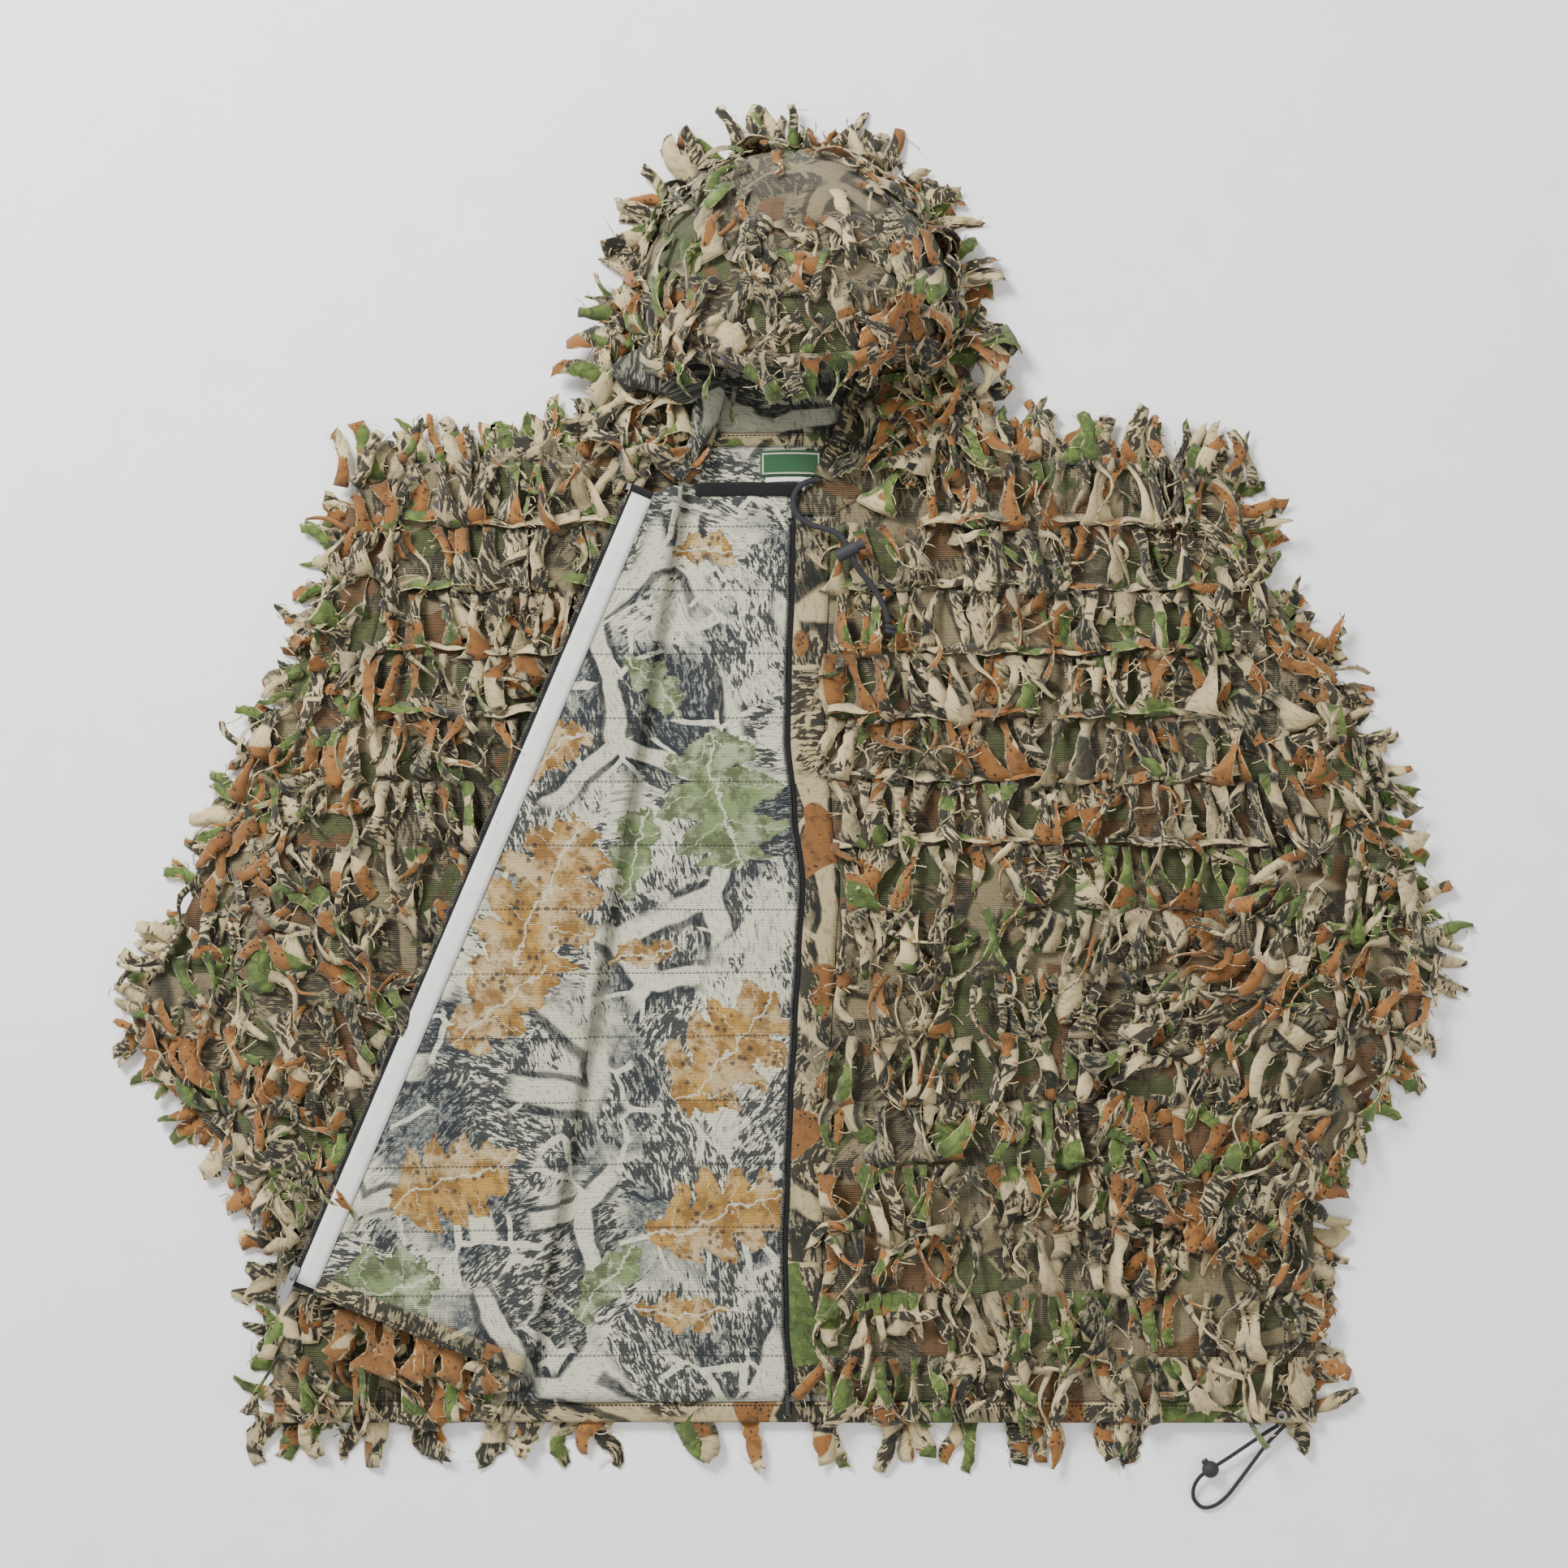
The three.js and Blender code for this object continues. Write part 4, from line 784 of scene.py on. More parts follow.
@once
def shaded_lining(name):
    """The lining deep inside the hood, with painted shade: its print mixed halfway towards the bark colour.
    """
    material, work, shader = finish_tree(name)
    c = colours()
    cloth = work.add("ShaderNodeUVMap", uv_map="cloth").outputs[0]
    shade = work.group("woodland_print", Vector=cloth, Ground=c.cream, Shade=c.grey, Bark=c.bark,
                       Branch=c.cream,
                       Bark_amount=0.62)["Color"]
    ribs = work.group("rib_weave", Vector=cloth, Pitch=sizes().rib)
    # Painted shade: the print is mixed halfway towards the bark colour.
    work.feed(shader.inputs["Base Color"], work.mix(0.5, shade, c.bark))
    fabric_shader(shader)
    bump(work, shader, ribs["Height"], 0.0006, 0.9)
    return material


def woven_finish(name, tone, pitch=0.0009, rough=0.85, sheen=0.1):
    """A plain woven tape, label or braid in one colour, with painted shade in the hollows between its
    threads.
    """
    material, work, shader = finish_tree(name)
    cloth = work.add("ShaderNodeUVMap", uv_map="cloth").outputs[0]
    weave = work.group("plain_weave", Vector=cloth, Pitch=pitch)["Height"]
    dark = tuple(v * 0.45 for v in tone[:3]) + (1,)
    faded = work.mix(work.step(work.noise(cloth, 60, 3)[0], 0.45, 0.75, 0, 0.5), tone,
                     tuple(v * 0.75 for v in tone[:3]) + (1,))
    # Painted shade: where the weave is low, between the threads, the colour is darkened.
    work.feed(shader.inputs["Base Color"], work.mix(work.step(weave, 0.6, 0.15, 0, 0.8), faded, dark))
    fabric_shader(shader, rough, sheen)
    bump(work, shader, weave, 0.0003, 0.8)
    return material


@once
def black_webbing(name):
    """Black zip tape and the black band below the neck label."""
    return woven_finish(name, colours().black)


@once
def white_webbing(name):
    """The light facing beside the opened zip."""
    return woven_finish(name, (0.86, 0.86, 0.83, 1), 0.0011)


@once
def label_weave(name):
    """The satin neck label, with a plain woven border and no words."""
    material, work, shader = finish_tree(name)
    c = colours()
    edge = work.add("ShaderNodeUVMap", uv_map="band").outputs[0]
    cloth = work.add("ShaderNodeUVMap", uv_map="cloth").outputs[0]
    parts = work.add("ShaderNodeSeparateXYZ", {"Vector": edge}).outputs
    along = work.maths("ABSOLUTE", work.maths("SUBTRACT", parts[0], 0.5))
    across = work.maths("ABSOLUTE", work.maths("SUBTRACT", parts[1], 0.5))
    border = work.maths("MAXIMUM", work.step(work.maths("ABSOLUTE", work.maths("SUBTRACT", along, 0.455)),
                                             0.014, 0.008),
                        work.step(work.maths("ABSOLUTE", work.maths("SUBTRACT", across, 0.38)), 0.035,
                                  0.02))
    border = work.maths("MULTIPLY", border, work.maths("MULTIPLY", work.step(along, 0.47, 0.468),
                                                       work.step(across, 0.415, 0.41)))
    weave = work.group("plain_weave", Vector=cloth, Pitch=0.0006)["Height"]
    tone = work.mix(border, c.label, c.cream)
    # Painted shade: the hollows of the weave are darkened towards black.
    work.feed(shader.inputs["Base Color"], work.mix(work.step(weave, 0.6, 0.2, 0, 0.35), tone, c.black))
    fabric_shader(shader, 0.55, 0.2)
    bump(work, shader, weave, 0.0002, 0.7)
    return material


@once
def braided_cord(name):
    """The hood's round braided cord."""
    return woven_finish(name, tuple(colours().black), 0.0016, 0.8)


@once
def elastic_cord(name):
    """The hem's covered elastic."""
    return woven_finish(name, tuple(colours().black), 0.0009, 0.7)


@once
def zip_nylon(name):
    """Dark moulded zip teeth."""
    material, work, shader = finish_tree(name)
    spot = work.add("ShaderNodeTexCoord").outputs["Object"]
    wear = work.group("edge_wear", Vector=spot, Scale=600.0)
    work.feed(shader.inputs["Base Color"], work.mix(wear["Scuff"], (0.03, 0.03, 0.029, 1),
                                                    (0.11, 0.11, 0.105, 1)))
    work.feed(shader.inputs["Roughness"], work.step(wear["Grain"], 0.3, 0.7, 0.35, 0.55))
    bump(work, shader, wear["Grain"], 0.0001, 0.4)
    return material


def hard_finish(name, tone, scuffed, metallic, rough, scale=260.0):
    material, work, shader = finish_tree(name)
    spot = work.add("ShaderNodeTexCoord").outputs["Object"]
    wear = work.group("edge_wear", Vector=spot, Scale=scale)
    work.feed(shader.inputs["Base Color"], work.mix(wear["Scuff"], tone, scuffed))
    work.feed(shader.inputs["Roughness"], work.step(wear["Grain"], 0.25, 0.75, rough - 0.1, rough + 0.12))
    shader.inputs["Metallic"].default_value = metallic
    bump(work, shader, wear["Grain"], 0.0001, 0.35)
    return material


@once
def dull_metal(name):
    """Grey plated zinc with scuffs."""
    return hard_finish(name, (0.09, 0.09, 0.09, 1), (0.24, 0.24, 0.23, 1), 1.0, 0.45)


@once
def black_plastic(name):
    """Moulded satin plastic."""
    return hard_finish(name, (0.016, 0.016, 0.017, 1), (0.035, 0.035, 0.036, 1), 0.0, 0.36)


@once
def spring_wire(name):
    """Drawn spring wire."""
    return hard_finish(name, (0.5, 0.5, 0.5, 1), (0.62, 0.62, 0.6, 1), 1.0, 0.3, 900.0)


@once
def studio_floor(name):
    """A plain pale surface with a very slight grain."""
    material, work, shader = finish_tree(name)
    spot = work.add("ShaderNodeTexCoord").outputs["Object"]
    grain = work.noise(spot, 30, 2)[0]
    work.feed(shader.inputs["Base Color"], work.mix(work.step(grain, 0.3, 0.7), (0.93, 0.93, 0.93, 1),
                                                    (0.95, 0.95, 0.95, 1)))
    shader.inputs["Roughness"].default_value = 0.9
    return material


# ---------------------------------------------------------------- making meshes


def settle(obj, body="root", slot=None, replaced=(), smooth=True):
    """A finished piece: smooth, riding on its body, and standing for its CAD nodes."""
    if smooth:
        obj.data.shade_smooth()
    if body:
        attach(obj, body)
    if replaced:
        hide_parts(*replaced)
    return obj


def mesh_piece(name, points, faces, looks, cloth=None, band=None, marks=None):
    """A mesh object from points on the plan, with its cloth coordinates in metres."""
    mesh = bpy.data.meshes.new(name)
    mesh.from_pydata([place(*p) for p in points], [], faces)
    for look in looks:
        mesh.materials.append(look)
    corners = [0] * len(mesh.loops)
    mesh.loops.foreach_get("vertex_index", corners)
    for layer, values in (("cloth", cloth), ("band", band)):
        if values:
            uv = mesh.uv_layers.new(name=layer)
            uv.data.foreach_set("uv", [v for i in corners for v in values[i]])
    for label, values in (marks or {}).items():
        mesh.attributes.new(label, "FLOAT", "POINT").data.foreach_set("value", values)
    obj = bpy.data.objects.new(name, mesh)
    bpy.context.collection.objects.link(obj)
    return obj


def only(obj):
    """Selects one object alone and makes it active."""
    bpy.ops.object.select_all(action="DESELECT")
    obj.select_set(True)
    bpy.context.view_layer.objects.active = obj


def apply_modifier(obj, kind, **settings):
    only(obj)
    modifier = obj.modifiers.new(kind.title(), kind)
    for name, value in settings.items():
        setattr(modifier, name, value)
    bpy.ops.object.modifier_apply(modifier=modifier.name)


def thicken(obj, thickness, second_side=False):
    apply_modifier(obj, "SOLIDIFY", thickness=thickness, offset=0, material_offset=1 if second_side else 0,
                   material_offset_rim=0)


def cloth_patch(name, outline, cell, height, looks, thickness, two_sided=False):
    """A flat-cut panel laid over a height function: its outline is filled with a grid of cells."""
    sheet = bmesh.new()
    sheet.faces.new([sheet.verts.new((x, y, 0)) for x, y in outline])
    if sum(a[0] * b[1] - b[0] * a[1] for a, b in zip(outline, outline[1:] + outline[:1])) < 0:
        bmesh.ops.reverse_faces(sheet, faces=sheet.faces[:])
    bmesh.ops.triangulate(sheet, faces=sheet.faces[:])
    for axis in (0, 1):
        low = min(p[axis] for p in outline)
        high = max(p[axis] for p in outline)
        for i in range(1, int((high - low) / cell) + 1):
            spot = [0, 0, 0]
            way = [0, 0, 0]
            spot[axis] = low + i * cell
            way[axis] = 1
            bmesh.ops.bisect_plane(sheet, geom=sheet.verts[:] + sheet.edges[:] + sheet.faces[:], dist=0.01,
                                   plane_co=spot, plane_no=way)
    bmesh.ops.dissolve_limit(sheet, angle_limit=0.001, verts=[],
                             edges=[e for e in sheet.edges if not e.is_boundary
                             and not any(abs(e.verts[0].co[a] - e.verts[1].co[a]) < 0.01 for a in (0, 1))])
    points = [(v.co.x, v.co.y, height(v.co.x, v.co.y)) for v in sheet.verts]
    sheet.verts.index_update()
    faces = [[v.index for v in f.verts] for f in sheet.faces]
    sheet.free()
    cloth = [(x * MM, y * MM) for x, y, z in points]
    obj = mesh_piece(name, points, faces, looks, cloth)
    thicken(obj, thickness, two_sided)
    return obj


def grid_piece(name, rows, looks, thickness, two_sided=False, cloth=None, band=None):
    """A sheet from rows of points on the plan, each row as long as the others."""
    wide = len(rows[0])
    points = [p for row in rows for p in row]
    faces = [(j * wide + i, j * wide + i + 1, (j + 1) * wide + i + 1, (j + 1) * wide + i)
             for j in range(len(rows) - 1) for i in range(wide - 1)]
    if cloth is None:
        cloth = [(p[0] * MM, p[1] * MM) for p in points]
    obj = mesh_piece(name, points, faces, looks, cloth, band)
    if thickness:
        thicken(obj, thickness, two_sided)
    return obj


def wrinkle(x, y):
    """Low soft folds in a laid cloth, in millimetres."""
    return (math.sin(x * 0.041 + y * 0.017 + 1.3) * math.sin(y * 0.023 - x * 0.012)
            + 0.5 * math.sin(x * 0.09 - y * 0.031 + 0.4))


# ---------------------------------------------------------------- cut strips


class Strips:
    """Cut cloth strips gathered into one mesh. Each is a ribbon bent and twisted along its length."""

    def __init__(self, name, seed):
        self.name = name
        self.rng = random.Random(seed)
        self.points = []
        self.faces = []
        self.cloth = []
        self.fray = []
        # tone holds painted shade for each point: 1 leaves its colour as it is, lower values darken it
        # towards black.
        self.tone = []

    def ribbon(self, way_to, length, widths, pitch, turn, twist, cup=0.12, lengths=9, cut=(0.0, 0.0),
               reach=None,
               start=1.0, limit=None):
        """Adds a ribbon. way_to maps its own (along, aside, up) to the plan; widths is a function of 0 to 1;
        pitch, turn and twist are functions of 0 to 1 giving angles; reach is where its end comes down."""
        rng = self.rng
        step = length / lengths
        spot = Vector((0, 0, start))
        centres = []
        frames = []
        for i in range(lengths + 1):
            t = i / lengths
            up_angle, side_angle, roll = pitch(t), turn(t), twist(t)
            forward = Vector((math.cos(up_angle) * math.cos(side_angle),
                              math.cos(up_angle) * math.sin(side_angle),
                              math.sin(up_angle)))
            aside = Vector((-math.sin(side_angle), math.cos(side_angle), 0))
            above = forward.cross(aside)
            centres.append(spot.copy())
            frames.append((aside * math.cos(roll) + above * math.sin(roll),
                           above * math.cos(roll) - aside * math.sin(roll)))
            spot = spot + forward * step
        if reach is not None:
            miss = Vector(reach) - centres[-1]
            centres = [c + miss * (i / lengths) for i, c in enumerate(centres)]
        first = len(self.points)
        # Painted shade: the whole strip is darkened by a random share, as if it lay deeper among the others.
        depth = rng.uniform(0.68, 1.0)
        for i, (centre, (aside, above)) in enumerate(zip(centres, frames)):
            t = i / lengths
            width = widths(t)
            for side in (-1, 0, 1):
                half = side * width / 2 * (1 + rng.uniform(-0.24, 0.2))
                spot = centre + aside * half + above * (cup * width * (1 - abs(side)))
                low = 0.5
                spot.z = max(spot.z, low)
                if limit:
                    spot.z = min(spot.z, limit)
                self.points.append(way_to(spot))
                self.cloth.append((cut[0] + half * MM, cut[1] - t * length * MM))
                self.fray.append(1.0 if side else (0.75 if i in (0, lengths) else 0.0))
                # Painted shade, darker towards the strip's sewn root, where the row above shades it.
                self.tone.append(depth * mix(0.55, 1, min(t * 2.5, 1)))
        for i in range(lengths):
            for k in (0, 1):
                a = first + i * 3 + k
                self.faces.append((a, a + 3, a + 4, a + 1))
        for _ in range(rng.randint(1, 3)):
            i = rng.randint(2, lengths - 1)
            self.thread(way_to, centres[i], frames[i], widths(i / lengths) / 2 * rng.choice((-1, 1)), cut)

    def thread(self, way_to, centre, way, half, cut):
        """A loose end of yarn that curls away from a cut edge."""
        rng = self.rng
        aside, above = way
        out = aside * math.copysign(1, half)
        drift = Vector((rng.uniform(-1, 1), rng.uniform(-1, 1), rng.uniform(0, 0.7)))
        first = len(self.points)
        reach = rng.uniform(4, 11)
        for i in range(4):
            t = i / 3
            spot = centre + aside * (half * 0.9) + (out * (1 - 0.6 * t) + drift * t) * reach * t
            for side in (-0.3, 0.3):
                place_at = spot + Vector((side, side * 0.5, 0))
                place_at.z = max(place_at.z, 0.5)
                self.points.append(way_to(place_at))
                self.cloth.append((cut[0] + side * MM, cut[1] + t * reach * MM))
                self.fray.append(2.0)
                self.tone.append(1.0)
        for i in range(3):
            a = first + i * 2
            self.faces.append((a, a + 2, a + 3, a + 1))

    def finish(self, replaced, slot="leaf_strips", body="root"):
        obj = mesh_piece(self.name, self.points, self.faces, [strip_cloth(), strip_reverse()], self.cloth,
                         marks={"fray": self.fray, "tone": self.tone})
        thicken(obj, sizes().strip, True)
        return settle(obj, body, slot, replaced)


def laid(root, way, ground, side=1):
    """Maps a strip's own (along, aside, up) to the plan: way is its direction, ground the height under it."""
    ahead = Vector((math.cos(way), math.sin(way)))
    aside = Vector((-ahead.y, ahead.x)) * side

    def to_plan(p):
        x = root[0] + ahead.x * p.x + aside.x * p.y
        y = root[1] + ahead.y * p.x + aside.y * p.y
        return x, y, max(ground(x, y), 0.4) + p.z
    return to_plan


def wave(rng, size, cycles):
    start = rng.uniform(0, math.tau)
    return lambda t: size * math.sin(math.tau * cycles * t + start)


def toothed(strips, to_plan, length, width, rise, cut):
    """A strip held at both seams: narrow and twisted in the middle and broad where it joins the next seam."""
    rng = strips.rng
    roll = rng.choice((-1, 1)) * rng.uniform(0.25, 1.25)
    waist = rng.uniform(0.35, 0.8)
    where = rng.uniform(0.2, 0.5)
    sway = wave(rng, rng.uniform(0.05, 0.3), rng.uniform(0.5, 1.0))
    hump = rng.uniform(0.7, 1.0) * rise

    def widths(t):
        near = math.exp(-((t - where) / 0.25) ** 2)
        return width * (1 - (1 - waist) * near) * mix(0.7, base, t ** 1.6)
    base = rng.uniform(1.0, 2.0)
    lean = rng.uniform(-0.42, 0.42) * length
    angle = math.atan2(hump * 2.2, length)
    strips.ribbon(to_plan, length * rng.uniform(1.04, 1.16), widths,
                  lambda t: angle * math.cos(math.pi * t) * 1.6,
                  sway, lambda t: roll * math.sin(math.pi * t), cup=rng.uniform(-0.1, 0.22), cut=cut,
                  reach=(length, lean, rng.uniform(1.5, 4)), start=rng.uniform(1, 3))


def loose(strips, to_plan, length, width, rise, cut, curl=1.0):
    """A strip sewn at one end only: it lifts, wanders, twists and curls over at its cut tip."""
    rng = strips.rng
    lift_angle = rng.uniform(0.1, 0.75) * rise / 14
    fall = -rng.uniform(0.2, 1.3) * curl
    side = wave(rng, rng.uniform(0.1, 0.7), rng.uniform(0.4, 0.9))
    roll = rng.uniform(-1.3, 1.3)
    taper = rng.uniform(0.6, 1.05)
    body = rng.uniform(0.6, 0.95)

    def widths(t):
        base = mix(1.15, body, soft_step(t, 0, 0.3))
        return width * base * mix(1, taper, soft_step(t, 0.55, 1))
    strips.ribbon(to_plan, length, widths, lambda t: mix(lift_angle, fall, t), side, lambda t: roll * t * t,
                  cup=rng.uniform(-0.2, 0.25), cut=cut, start=rng.uniform(1, 4))


def thin(strips, to_plan, length, width, rise, cut):
    """A long narrow strip, rolled on itself into a wavy cord of cloth."""
    rng = strips.rng
    up = wave(rng, rng.uniform(0.3, 0.75), rng.uniform(0.8, 1.4))
    side = wave(rng, rng.uniform(0.3, 0.9), rng.uniform(0.5, 1.1))
    roll = rng.choice((-1, 1)) * rng.uniform(1.5, 3.6)
    strips.ribbon(to_plan, length, lambda t: width * (0.42 + 0.35 * (1 - t) ** 3), up, side,
                  lambda t: roll * t,
                  cup=0.28, cut=cut, start=rng.uniform(3, rise * 0.7 + 3))


def flat_leaf(strips, to_plan, length, width, cut):
    """A broad piece of cloth that lies nearly flat, with a pointed end."""
    rng = strips.rng
    strips.ribbon(to_plan, length, lambda t: width * (0.55 + 0.75 * math.sin(math.pi * min(t * 0.9 + 0.08,
                                                                                           1))),
                  lambda t: mix(0.12, -0.1, t), wave(rng, 0.15, 0.5), lambda t: rng.uniform(-0.1, 0.1),
                  cup=0.06,
                  cut=cut, start=2.5)


def pressed(strips, to_plan, length, width, cut):
    """A strip held flat by the cloth that lies over it."""
    rng = strips.rng
    taper = rng.uniform(0.6, 1.15)
    strips.ribbon(to_plan, length, lambda t: width * mix(1, taper, t), lambda t: mix(0.04, -0.04, t),
                  wave(rng, 0.3, 0.7), lambda t: 0.0, cup=0.04, cut=cut, start=rng.uniform(0.6, 2.0))


def ledge(strips, points, ground, depth, rise, cut):
    """The uncut lower margin of one row of cloth: a long band whose free edge stands away from the jacket."""
    rng = strips.rng
    lengths = [0.0]
    for a, b in zip(points, points[1:]):
        lengths.append(lengths[-1] + math.dist(a, b))
    first = len(strips.points)
    phase = rng.uniform(0, 6)
    for (x, y), run in zip(points, lengths):
        bulge = 0.5 + 0.5 * math.sin(run * 0.055 + phase) + 0.25 * math.sin(run * 0.17 + phase * 2)
        y += 2.4 * math.sin(run * 0.043 + phase * 3) + 1.3 * math.sin(run * 0.19 + phase)
        deep = depth * (0.6 + 0.5 * bulge)
        for k, (back, height) in enumerate(((deep, 2.2), (deep * 0.45, rise * (0.55 + 0.2 * bulge)),
                                            (0.0, rise * (0.6 + 0.6 * bulge)))):
            wobble = rng.uniform(-0.6, 0.6)
            strips.points.append((x, y + back + wobble, ground(x, y + back) + height))
            strips.cloth.append((cut[0] + run * MM, cut[1] + back * MM))
            strips.fray.append(1.0 if k == 2 else 0.0)
            # Painted shade: the ledge is darkened by a fixed share.
            strips.tone.append(0.85)
    for i in range(len(points) - 1):
        for k in (0, 1):
            a = first + i * 3 + k
            strips.faces.append((a, a + 1, a + 4, a + 3))


def scatter_row(strips, start, end, way, ground, order, depth, row, pitch=ROW_PITCH, spread=0.3,
                density=1.0):
    """Fills one sewn row, from start to end on the plan, with strips of every kind."""
    rng = strips.rng
    run = (Vector(end) - Vector(start)).length
    cut_row = (row * 0.617) % 3.0
    at = rng.uniform(0, 8)
    while at < run:
        width = rng.uniform(8, 19)
        root = Vector(start).lerp(Vector(end), at / run)
        cut = (cut_row + at * MM + rng.uniform(-0.012, 0.012), row * 0.233 + rng.uniform(-0.01, 0.01))
        kind = rng.random()
        heading = way(root) + rng.uniform(-spread, spread) * (1 - 0.7 * order)
        to_plan = laid(root, heading, ground)
        if kind < 0.26 + 0.38 * order:
            toothed(strips, to_plan, pitch * rng.uniform(0.92, 1.06), width, depth * rng.uniform(0.5, 1),
                    cut)
        elif kind < 0.66 + 0.12 * order:
            loose(strips, to_plan, rng.uniform(38, 62), width * 0.85, depth * rng.uniform(0.7, 1.3), cut)
        elif kind < 0.93:
            thin(strips, to_plan, rng.uniform(45, 80), width * 0.75, depth * 1.2, cut)
        else:
            flat_leaf(strips, to_plan, rng.uniform(30, 44), width * 1.4, cut)
        if rng.random() < 0.62 * density:
            extra = laid(root + Vector((rng.uniform(-8, 8), rng.uniform(-18, 4))),
                         way(root) + rng.uniform(-1.3, 1.3), ground)
            make = loose if rng.random() < 0.4 else thin
            make(strips, extra, rng.uniform(28, 55), width * rng.uniform(0.45, 0.75),
                 depth * rng.uniform(0.8, 1.5),
                 (cut[0] + rng.uniform(-0.3, 0.3), cut[1] + 0.4))
        at += width * rng.uniform(0.8, 1.35) / density


def row_pieces(outline, y, step=4.0, keep=lambda x, y: True):
    """The stretches of a horizontal line that lie inside an outline and pass a test."""
    low = min(p[0] for p in outline)
    high = max(p[0] for p in outline)
    runs = []
    start = None
    x = low
    while x <= high + step:
        good = x <= high and inside((x, y), outline) and keep(x, y)
        if good and start is None:
            start = x
        if not good and start is not None:
            if x - step - start > 12:
                runs.append((start, x - step))
            start = None
        x += step
    return runs


def front_rows(strips, outline, keep, order, ground, depth=13):
    row = 0
    y = HEM_Y + HEM_BAND + ROW_PITCH * 0.72
    top = max(p[1] for p in outline)
    while y < top + 8:
        row += 1
        for low, high in row_pieces(outline, min(y, top - 4) - 2, keep=keep):
            middle = (low + high) / 2
            tidy = order(middle, y)
            scatter_row(strips, (low, y), (high, y), lambda p: -math.pi / 2, ground, tidy, depth, row)
            if tidy > 0.4:
                from_x = low
                while from_x < high - 20:
                    to_x = min(from_x + strips.rng.uniform(60, 170), high)
                    count = max(int((to_x - from_x) / 6), 2)
                    line = [(mix(from_x, to_x, i / count), y - ROW_PITCH + 2) for i in range(count + 1)]
                    ledge(strips, line, ground, strips.rng.uniform(6, 9), strips.rng.uniform(6, 11),
                          (row * 0.37 + from_x * MM, row * 0.21))
                    from_x = to_x + strips.rng.uniform(-4, 16)
        y += ROW_PITCH


# ---------------------------------------------------------------- operators


class PieceOperator:
    """What every piece operator shares: it reports that it has finished."""
    bl_options = {"REGISTER", "UNDO"}

    def execute(self, context):
        self.make()
        return {"FINISHED"}


class JACKET_OT_camera(PieceOperator, bpy.types.Operator):
    """Sets the camera straight above the jacket"""
    bl_idname = "jacket.camera"
    bl_label = "Camera"

    def make(self):
        data = bpy.data.cameras.new("camera")
        data.lens = 78
        data.sensor_width = 36
        data.clip_start = 0.05
        data.clip_end = 20
        camera = bpy.data.objects.new("camera", data)
        camera.location = (-0.0006, 0.007, 2.512)
        bpy.context.collection.objects.link(camera)
        bpy.context.scene.camera = camera


def braid_tube(name, points, diameter, look, around=12, lay=10.0):
    """A cord as a tube with a twisted, slightly lobed surface and its own cloth coordinates."""
    fine = []
    count = len(points)
    for i in range(count - 1):
        p0, p1, p2, p3 = (Vector(points[max(0, min(count - 1, k))]) for k in (i - 1, i, i + 1, i + 2))
        steps = max(2, int((p2 - p1).length / 1.6))
        for s in range(steps):
            t = s / steps
            fine.append(0.5 * ((2 * p1) + (p2 - p0) * t + (2 * p0 - 5 * p1 + 4 * p2 - p3) * t * t
                               + (3 * p1 - p0 - 3 * p2 + p3) * t ** 3))
    fine.append(Vector(points[-1]))
    verts, faces, cloth = [], [], []
    run = 0
    for i, spot in enumerate(fine):
        ahead = (fine[min(i + 1, len(fine) - 1)] - fine[max(i - 1, 0)]).normalized()
        aside = ahead.cross(Vector((0, 0, 1))).normalized()
        above = aside.cross(ahead)
        if i:
            run += (spot - fine[i - 1]).length
        for k in range(around):
            angle = math.tau * k / around
            radius = diameter / 2 * (1 - 0.05 * (0.5 + 0.5 * math.cos(angle * 4 + run * math.tau / lay)))
            verts.append(tuple(spot + aside * math.cos(angle) * radius + above * math.sin(angle) * radius))
            cloth.append((angle / math.tau * diameter * math.pi * MM, run * MM))
    for i in range(len(fine) - 1):
        for k in range(around):
            a, b = i * around + k, i * around + (k + 1) % around
            faces.append((a, b, b + around, a + around))
    faces.append(tuple(range(around)))
    faces.append(tuple(reversed(range((len(fine) - 1) * around, len(fine) * around))))
    obj = mesh_piece(name, verts, [tuple(reversed(f)) for f in faces], [look], cloth)
    return obj, [tuple(place(*p)) for p in fine], run * MM


class JACKET_OT_hood_cord(PieceOperator, bpy.types.Operator):
    """Lays the hood's draw cord over the chest, through its lock and into its knot"""
    bl_idname = "jacket.hood_cord"
    bl_label = "Hood cord"

    def make(self):
        obj, path, length = braid_tube("hood_draw_cord", HOOD_CORD_ROUTE, HOOD_CORD, braided_cord())
        settle(obj, "root", "braided_cord", ["hood_cord"])
        end = Vector(HOOD_CORD_ROUTE[-1]) + Vector((1.7, -4.75, 0.9))
        knot = self.knot(end)

    def knot(self, centre):
        """A single overhand knot: the cord wound round itself, with a short bare tail."""
        points = []
        for i in range(40):
            t = i / 39
            angle = math.tau * (0.1 + 1.55 * t)
            points.append((centre.x + 2.9 * math.cos(angle), centre.y - 2.2 + 5.4 * t - 1.0,
                           centre.z + 1.4 * math.sin(angle)))
        obj, path, length = braid_tube("hood_cord_end_knot", points, KNOT_CORD, braided_cord(), 10)
        return settle(obj, "root", "braided_cord", ["hood_cord_knot"])


class JACKET_OT_hem_cord(PieceOperator, bpy.types.Operator):
    """Lays the loop of the hem's elastic through its ball toggle"""
    bl_idname = "jacket.hem_cord"
    bl_label = "Hem elastic"

    def make(self):
        route = [(BODY_HALF + x, HEM_Y + y, z) for x, y, z in HEM_CORD_ROUTE]
        obj, path, length = braid_tube("hem_elastic_cord", route, HEM_CORD, elastic_cord(), 10, 6.0)
        settle(obj, "root", "elastic_cord", ["hem_cord"])


